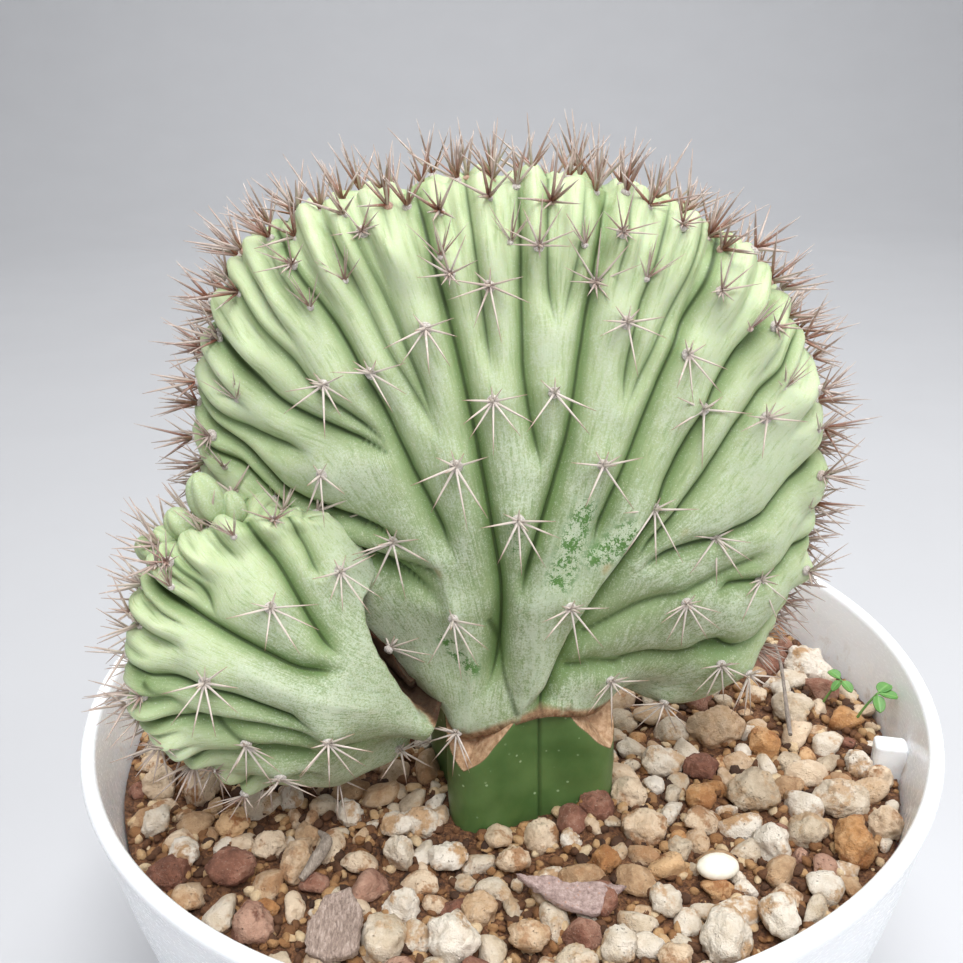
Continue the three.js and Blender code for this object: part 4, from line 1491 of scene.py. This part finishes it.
def clear_of(x, y, size, taken, share):
    """Whether a stone of a size may lie here, among the stones that have their places."""
    stump_r = rib_radius(math.atan2(y - STOCK_Y, x - STOCK_X))
    if math.hypot(x - STOCK_X, y - STOCK_Y) < stump_r + size * 0.7:
        return False
    for angle in LUG_ANGLES:
        lug_x = (SOIL_R - 3) * math.cos(math.radians(angle))
        lug_y = (SOIL_R - 3) * math.sin(math.radians(angle))
        if math.hypot(x - lug_x, y - lug_y) < 3.5 + size:
            return False
    return all(math.hypot(x - a, y - b) > share * (size + c) for a, b, c in taken)


def taken_places(stones):
    """Place and half size of every stone that is laid already."""
    taken = [(x, y, half * 0.9) for x, y, half, _ in EXTRA_STONES]
    for node in stones:
        low, high = corners(node)
        middle = (low + high) / 2
        taken.append((middle.x, middle.y, (high.x - low.x + high.y - low.y) / 4))
    return taken


def scatter(count, low, high, taken, share, chance):
    """Random clear places for stones, the larger sizes first."""
    sizes = sorted((chance.uniform(low, high) for _ in range(count)), reverse=True)
    found = []
    for size in sizes:
        for _ in range(12):
            radius = (SOIL_R - 0.2 - size) * math.sqrt(chance.random())
            angle = chance.uniform(0, TURN)
            x, y = radius * math.cos(angle), radius * math.sin(angle)
            if clear_of(x, y, size, taken, share):
                taken.append((x, y, size))
                found.append((x, y, size))
                break
    return found


def lie_down(x, y, size, chance, lift):
    """The frame of a small stone turned at random, its middle a share of its size above the grit."""
    roll = Matrix.Rotation(chance.uniform(-0.5, 0.5), 4, "X")
    pitch = Matrix.Rotation(chance.uniform(-0.4, 0.4), 4, "Y")
    turn = Matrix.Rotation(chance.uniform(0, TURN), 4, "Z")
    place = Matrix.Translation((x, y, soil_at(x, y) + lift * size))
    return place @ turn @ (roll @ pitch) @ Matrix.Scale(size, 4)


GRAVEL_MIX = [("cream", 0.44), ("tan", 0.34), ("orange", 0.12), ("maroon", 0.10)]


def gravel_piece(name, model, group, lift, darkness, chance):
    """One piece of many small stones. A darkness above one makes more of them dark."""
    frames = [lie_down(x, y, size, chance, lift) for x, y, size in group]
    tones = [chance.random() ** darkness for _ in group]
    piece = stamped(name, model, frames, {"tone": tones})
    discard(model)
    return piece


def build_gravel(taken):
    """Gravel of four colours, each in three shapes, round the large stones."""
    chance = random.Random(7)
    spots = scatter(560, 1.1, 3.1, taken, 0.8, chance)
    chance.shuffle(spots)
    first = 0
    for colour, share in GRAVEL_MIX:
        last = first + round(share * len(spots))
        own = spots[first:last]
        first = last
        for k in range(3):
            model = gravel_model("gravel_model", 11 * k + len(colour), 3)
            piece = gravel_piece(f"gravel_{colour}_{k + 1}", model, own[k::3], 0.35, 1, chance)
            dress(piece, FINISHES["pebble_" + colour], "pebble_" + colour)
    build_crumbs(chance)


def build_crumbs(chance):
    """Loose crumbs of the grit in between."""
    for k in range(4):
        model = gravel_model("crumb_model", 50 + k, 2)
        group = scatter(1500, 0.3, 1.15, [], 0, chance)
        piece = gravel_piece(f"crumbs_{k + 1}", model, group, 0.55, 1.1, chance)
        dress(piece, FINISHES["crumbs"], "grit")


# ---------------------------------------------------------------- litter and seedlings


def tube(name, route, radii, sides, rows):
    """A closed tube along a route of points, with a radius at each, and rounded-off ends."""
    points = np.array(route, float)
    knots = np.linspace(0, 1, len(points))

    def shape(u, v):
        t = np.clip((v - 0.06) / 0.88, 0, 1)
        centre = curve_at(points, t)
        later, earlier = (curve_at(points, np.clip(t + step, 0, 1)) for step in (0.02, -0.02))
        ahead = unit(later - earlier)
        aside = unit(np.cross(ahead, np.array([0.1, 0.2, 1])))
        above = np.cross(aside, ahead)
        end = np.minimum(np.clip(v / 0.06, 0, 1), np.clip((1 - v) / 0.06, 0, 1))
        radius = (np.interp(t, knots, radii) * np.sqrt(np.clip(1 - (1 - end) ** 2, 0, 1)))[:, None]
        angle = (TURN * u)[:, None]
        return centre + radius * (aside * np.cos(angle) + above * np.sin(angle)), {"along": t}

    return skin(name, sides, rows, shape)


def curve_at(points, t):
    """A smooth curve through the points, at shares t from the first to the last."""
    spans = len(points) - 1
    padded = np.vstack([2 * points[0] - points[1], points, 2 * points[-1] - points[-2]])
    k = np.minimum((t * spans).astype(int), spans - 1)
    x = (t * spans - k)[:, None]
    a, b, c, d = (padded[k + i] for i in range(4))
    square = 2 * a - 5 * b + 4 * c - d
    cube = 3 * b - a - 3 * c + d
    return 0.5 * (2 * b + (c - a) * x + square * x**2 + cube * x**3)


def build_flakes():
    """Two bark flakes from their CAD slabs, roughened, ragged at the rims and cupped."""
    for node, look, cup in (("bark_flake_1", "mauve_bark", 0.012), ("bark_flake_2", "grey_bark", 0.02)):
        flake = copy_of_node(node, node + "_dry")
        roughen(flake, 0.3, 6, (3.0, 0.7), (0.6, 0.35))
        places = places_of(flake.data)
        middle = places.mean(axis=0)
        gap = np.sum((places - middle)[:, :2] ** 2, axis=1)
        ragged = 1 + 0.09 * ripple(places, 3.0, 8) + 0.05 * ripple(places, 1.1, 9)
        places[:, :2] = middle[:2] + (places - middle)[:, :2] * ragged[:, None]
        places[:, 2] += cup * gap + 0.5 * ripple(places, 3.5, 10)
        move_vertices(flake.data, places)
        dress(flake, FINISHES[look], SLOTS[node], node)


def build_strands():
    """The dry curled strip and the grey twig."""
    curl = [(-30.4, -40.6, 57.6), (-28.6, -37.6, 58.6), (-27.6, -34.2, 58.8), (-29.2, -31.4, 58.2)]
    strip = tube("dry_leaf_strip", curl, (0.5, 1.0, 0.9, 0.3), 14, 60)
    dress(strip, FINISHES["dry_leaf"], SLOTS["dry_strip"], "dry_strip")
    stick = [(50.6, 10.6, 64.6), (50.3, 5, 63.7), (49.7, 0, 62.3), (48.9, -6, 60.4), (48.4, -10, 59.4)]
    twig = tube("grey_twig", stick, (0.22, 0.34, 0.3, 0.42, 0.36), 12, 90)
    dress(twig, FINISHES["twig"], SLOTS["twig"], "twig")


def build_pellet():
    """The white pellet from its CAD ball, rounded and faintly dimpled."""
    pellet = copy_of_node("white_pellet", "smooth_white_pellet")
    roughen(pellet, 0.3, 8, (2.0, 0.2), (0.8, 0.06))
    dress(pellet, FINISHES["pellet"], SLOTS["white_pellet"], "white_pellet")


def leaf(name, at, turn, length, width, rise):
    """A small rounded leaf with a short stalk, cupped along its midrib."""

    def shape(u, v):
        along = u
        across = 2 * v - 1
        outline = np.sqrt(np.clip(1 - (2 * np.clip((along - 0.16) / 0.84, 0, 1) - 1) ** 2, 0, 1)) ** 0.9
        half = 0.5 * width * np.maximum(outline, 0.07)
        x = along * length
        y = across * half
        z = 0.28 * np.abs(across) ** 1.5 * outline + rise * along - 0.5 * along**2
        spin = math.radians(turn)
        px = at[0] + x * math.cos(spin) - y * math.sin(spin)
        py = at[1] + x * math.sin(spin) + y * math.cos(spin)
        return np.stack([px, py, at[2] + z], -1), {"rib": np.exp(-((across / 0.12) ** 2))}

    blade = skin(name, 16, 10, shape)
    apply_modifier(blade, "SOLIDIFY", thickness=0.22 * MM, offset=0)
    return blade


SEEDLINGS = {
    "seedling_1": (
        [(62, -2, 55.6), (63.4, -3, 60), (65, -3.4, 63)],
        [(-20, 3.4, 2.5, 0.4), (38, 3.5, 2.5, 0.9), (-95, 3.0, 2.1, -1.4)],
    ),
    "seedling_2": (
        [(58, 3.6, 55.6), (59, 2.8, 59), (60.6, 2.4, 62)],
        [(120, 2.8, 2.2, 0.9), (-60, 2.7, 2.0, -0.6), (-150, 2.0, 1.5, -1.2)],
    ),
}


def build_seedlings():
    for node, (stem, leaves) in SEEDLINGS.items():
        stalk = tube(node + "_plant", stem, (0.28, 0.22, 0.2), 10, 40)
        join([leaf("blade", stem[-1], *values) for values in leaves], stalk)
        dress(stalk, FINISHES["leaf"], SLOTS[node], node)


# ---------------------------------------------------------------- floor, light and camera


def build_studio():
    """A plain pale floor, and soft light from above and both sides."""
    angles = np.linspace(0, math.pi / 2, 9)
    curve = [(1000 + 800 * math.sin(a), 800 - 800 * math.cos(a)) for a in angles]
    floor = turned("floor", [(0, 0), *curve, (1800, 2600)], 64)
    bpy.ops.object.mode_set(mode="EDIT")
    bpy.ops.mesh.select_all(action="SELECT")
    bpy.ops.mesh.flip_normals()
    bpy.ops.object.mode_set(mode="OBJECT")
    floor.data.materials.append(floor_finish())
    world = bpy.data.worlds.new("soft_room")
    world.use_nodes = True
    world.node_tree.nodes["Background"].inputs["Color"].default_value = tint("dfe2e6")
    world.node_tree.nodes["Background"].inputs["Strength"].default_value = 0.24
    bpy.context.scene.world = world
    for name, at, size, power in (
        ("key_light", (0.05, -0.36, 0.68), 0.34, 4.5),
        ("fill_light", (0.5, -0.3, 0.4), 0.5, 1.3),
        ("top_light", (0.05, 0.15, 0.75), 0.5, 4.4),
        ("back_wall_light", (0, 1.0, 0.8), 0.9, 6),
        ("front_wall_light", (0, -1.0, 0.8), 0.9, 6),
        ("left_wall_light", (-1.0, 0, 0.8), 0.9, 6),
        ("right_wall_light", (1.0, 0, 0.8), 0.9, 6),
    ):
        bpy.ops.object.light_add(type="AREA", location=at)
        light = bpy.context.object
        light.name = name
        light.data.size = size
        light.data.energy = power
        target = Vector((1.5 * at[0], 1.5 * at[1], 0)) if "wall" in name else Vector((0, 0, 0.09))
        aim = target - Vector(at)
        light.rotation_euler = aim.to_track_quat("-Z", "Y").to_euler()


def build_camera():
    """The camera stands before the plant and a little above it, tilted down."""
    bpy.ops.object.camera_add(location=(0, -0.15255, 0.16607))
    camera = bpy.context.object
    camera.data.sensor_width = 36
    camera.data.lens = 36 * 1000 / 963
    camera.data.clip_start = 0.005
    right = Vector((0.99963141, 0.01485558, -0.02272338))
    up = Vector((0.01532784, 0.38200751, 0.9240321))
    back = Vector((0.02240753, -0.92403981, 0.38163901))
    camera.rotation_euler = Matrix((right, up, back)).transposed().to_euler()
    bpy.context.scene.camera = camera
    bpy.context.scene.view_settings.view_transform = "Standard"


# ---------------------------------------------------------------- the whole

FINISHES = {
    "scion": scion_skin(),
    "stock": stock_skin(),
    "spines": spine_finish(),
    "wool": wool_finish(),
    "pot": pot_finish(),
    "grit": soil_finish(),
    "crumbs": crumb_finish(),
    "pebble_cream": stone_finish("cream_pumice", "9a846c", "cfbda4", "eee4d6", "bd9468"),
    "pebble_tan": stone_finish("tan_pumice", "886444", "c4a27e", "e6d0b5", "a4744a"),
    "pebble_orange": stone_finish("orange_pumice", "7d522f", "bd8a58", "e0ba8e", "955c30"),
    "pebble_maroon": stone_finish("maroon_lava", "4f3024", "8e5f4c", "bd9681", "6b3f2d"),
    "pellet": pellet_finish(),
    "mauve_bark": dry_finish("mauve_bark", "7b6661", "a68f89", "c9b4ae", "b9805c", (1, 1, 2)),
    "grey_bark": dry_finish("grey_bark", "6c5b52", "9b887d", "c7b5ab", "5a483e", (2, 0.4, 2)),
    "dry_leaf": dry_finish("dry_leaf", "6e6259", "9a8d81", "bdb1a6", "584b42", (2, 0.6, 1)),
    "twig": dry_finish("grey_twig_bark", "5f564f", "8d8279", "b0a69c", "4a413b", (2, 0.4, 1)),
    "leaf": leaf_finish(),
}

CLUSTER_NODES = sorted(name for name in frame["nodes"] if name.startswith("spine_cluster_"))
LOBE_CLUSTERS = [f"spine_cluster_{i:02d}" for i in (9, 10, 19, 20)]

build_camera()
build_pot()
build_grit()
build_rootstock()

crest = fan_skin("crested_fan", MAIN_FAN, 800, 123, main_marks)
dress(crest, FINISHES["scion"], SLOTS["crested_scion"], "crested_scion")
lobe = fan_skin("side_lobe", SIDE_LOBE, 520, 120, lobe_marks)
build_offsets(lobe)
dress(lobe, FINISHES["scion"], SLOTS["crested_scion"], "crested_scion")

needle_shape = needle_model()
pad_shape = pad_model()
main_clusters = [name for name in CLUSTER_NODES if name not in LOBE_CLUSTERS]
plant_spines("fan", MAIN_FAN, needle_shape, pad_shape, 3, main_clusters)
plant_spines("lobe", SIDE_LOBE, needle_shape, pad_shape, 5, LOBE_CLUSTERS)
discard(needle_shape, pad_shape)

large_stones = build_stones()
build_extra_stones(large_stones)
build_gravel(taken_places(large_stones))

build_flakes()
build_strands()
build_pellet()
build_seedlings()
build_studio()
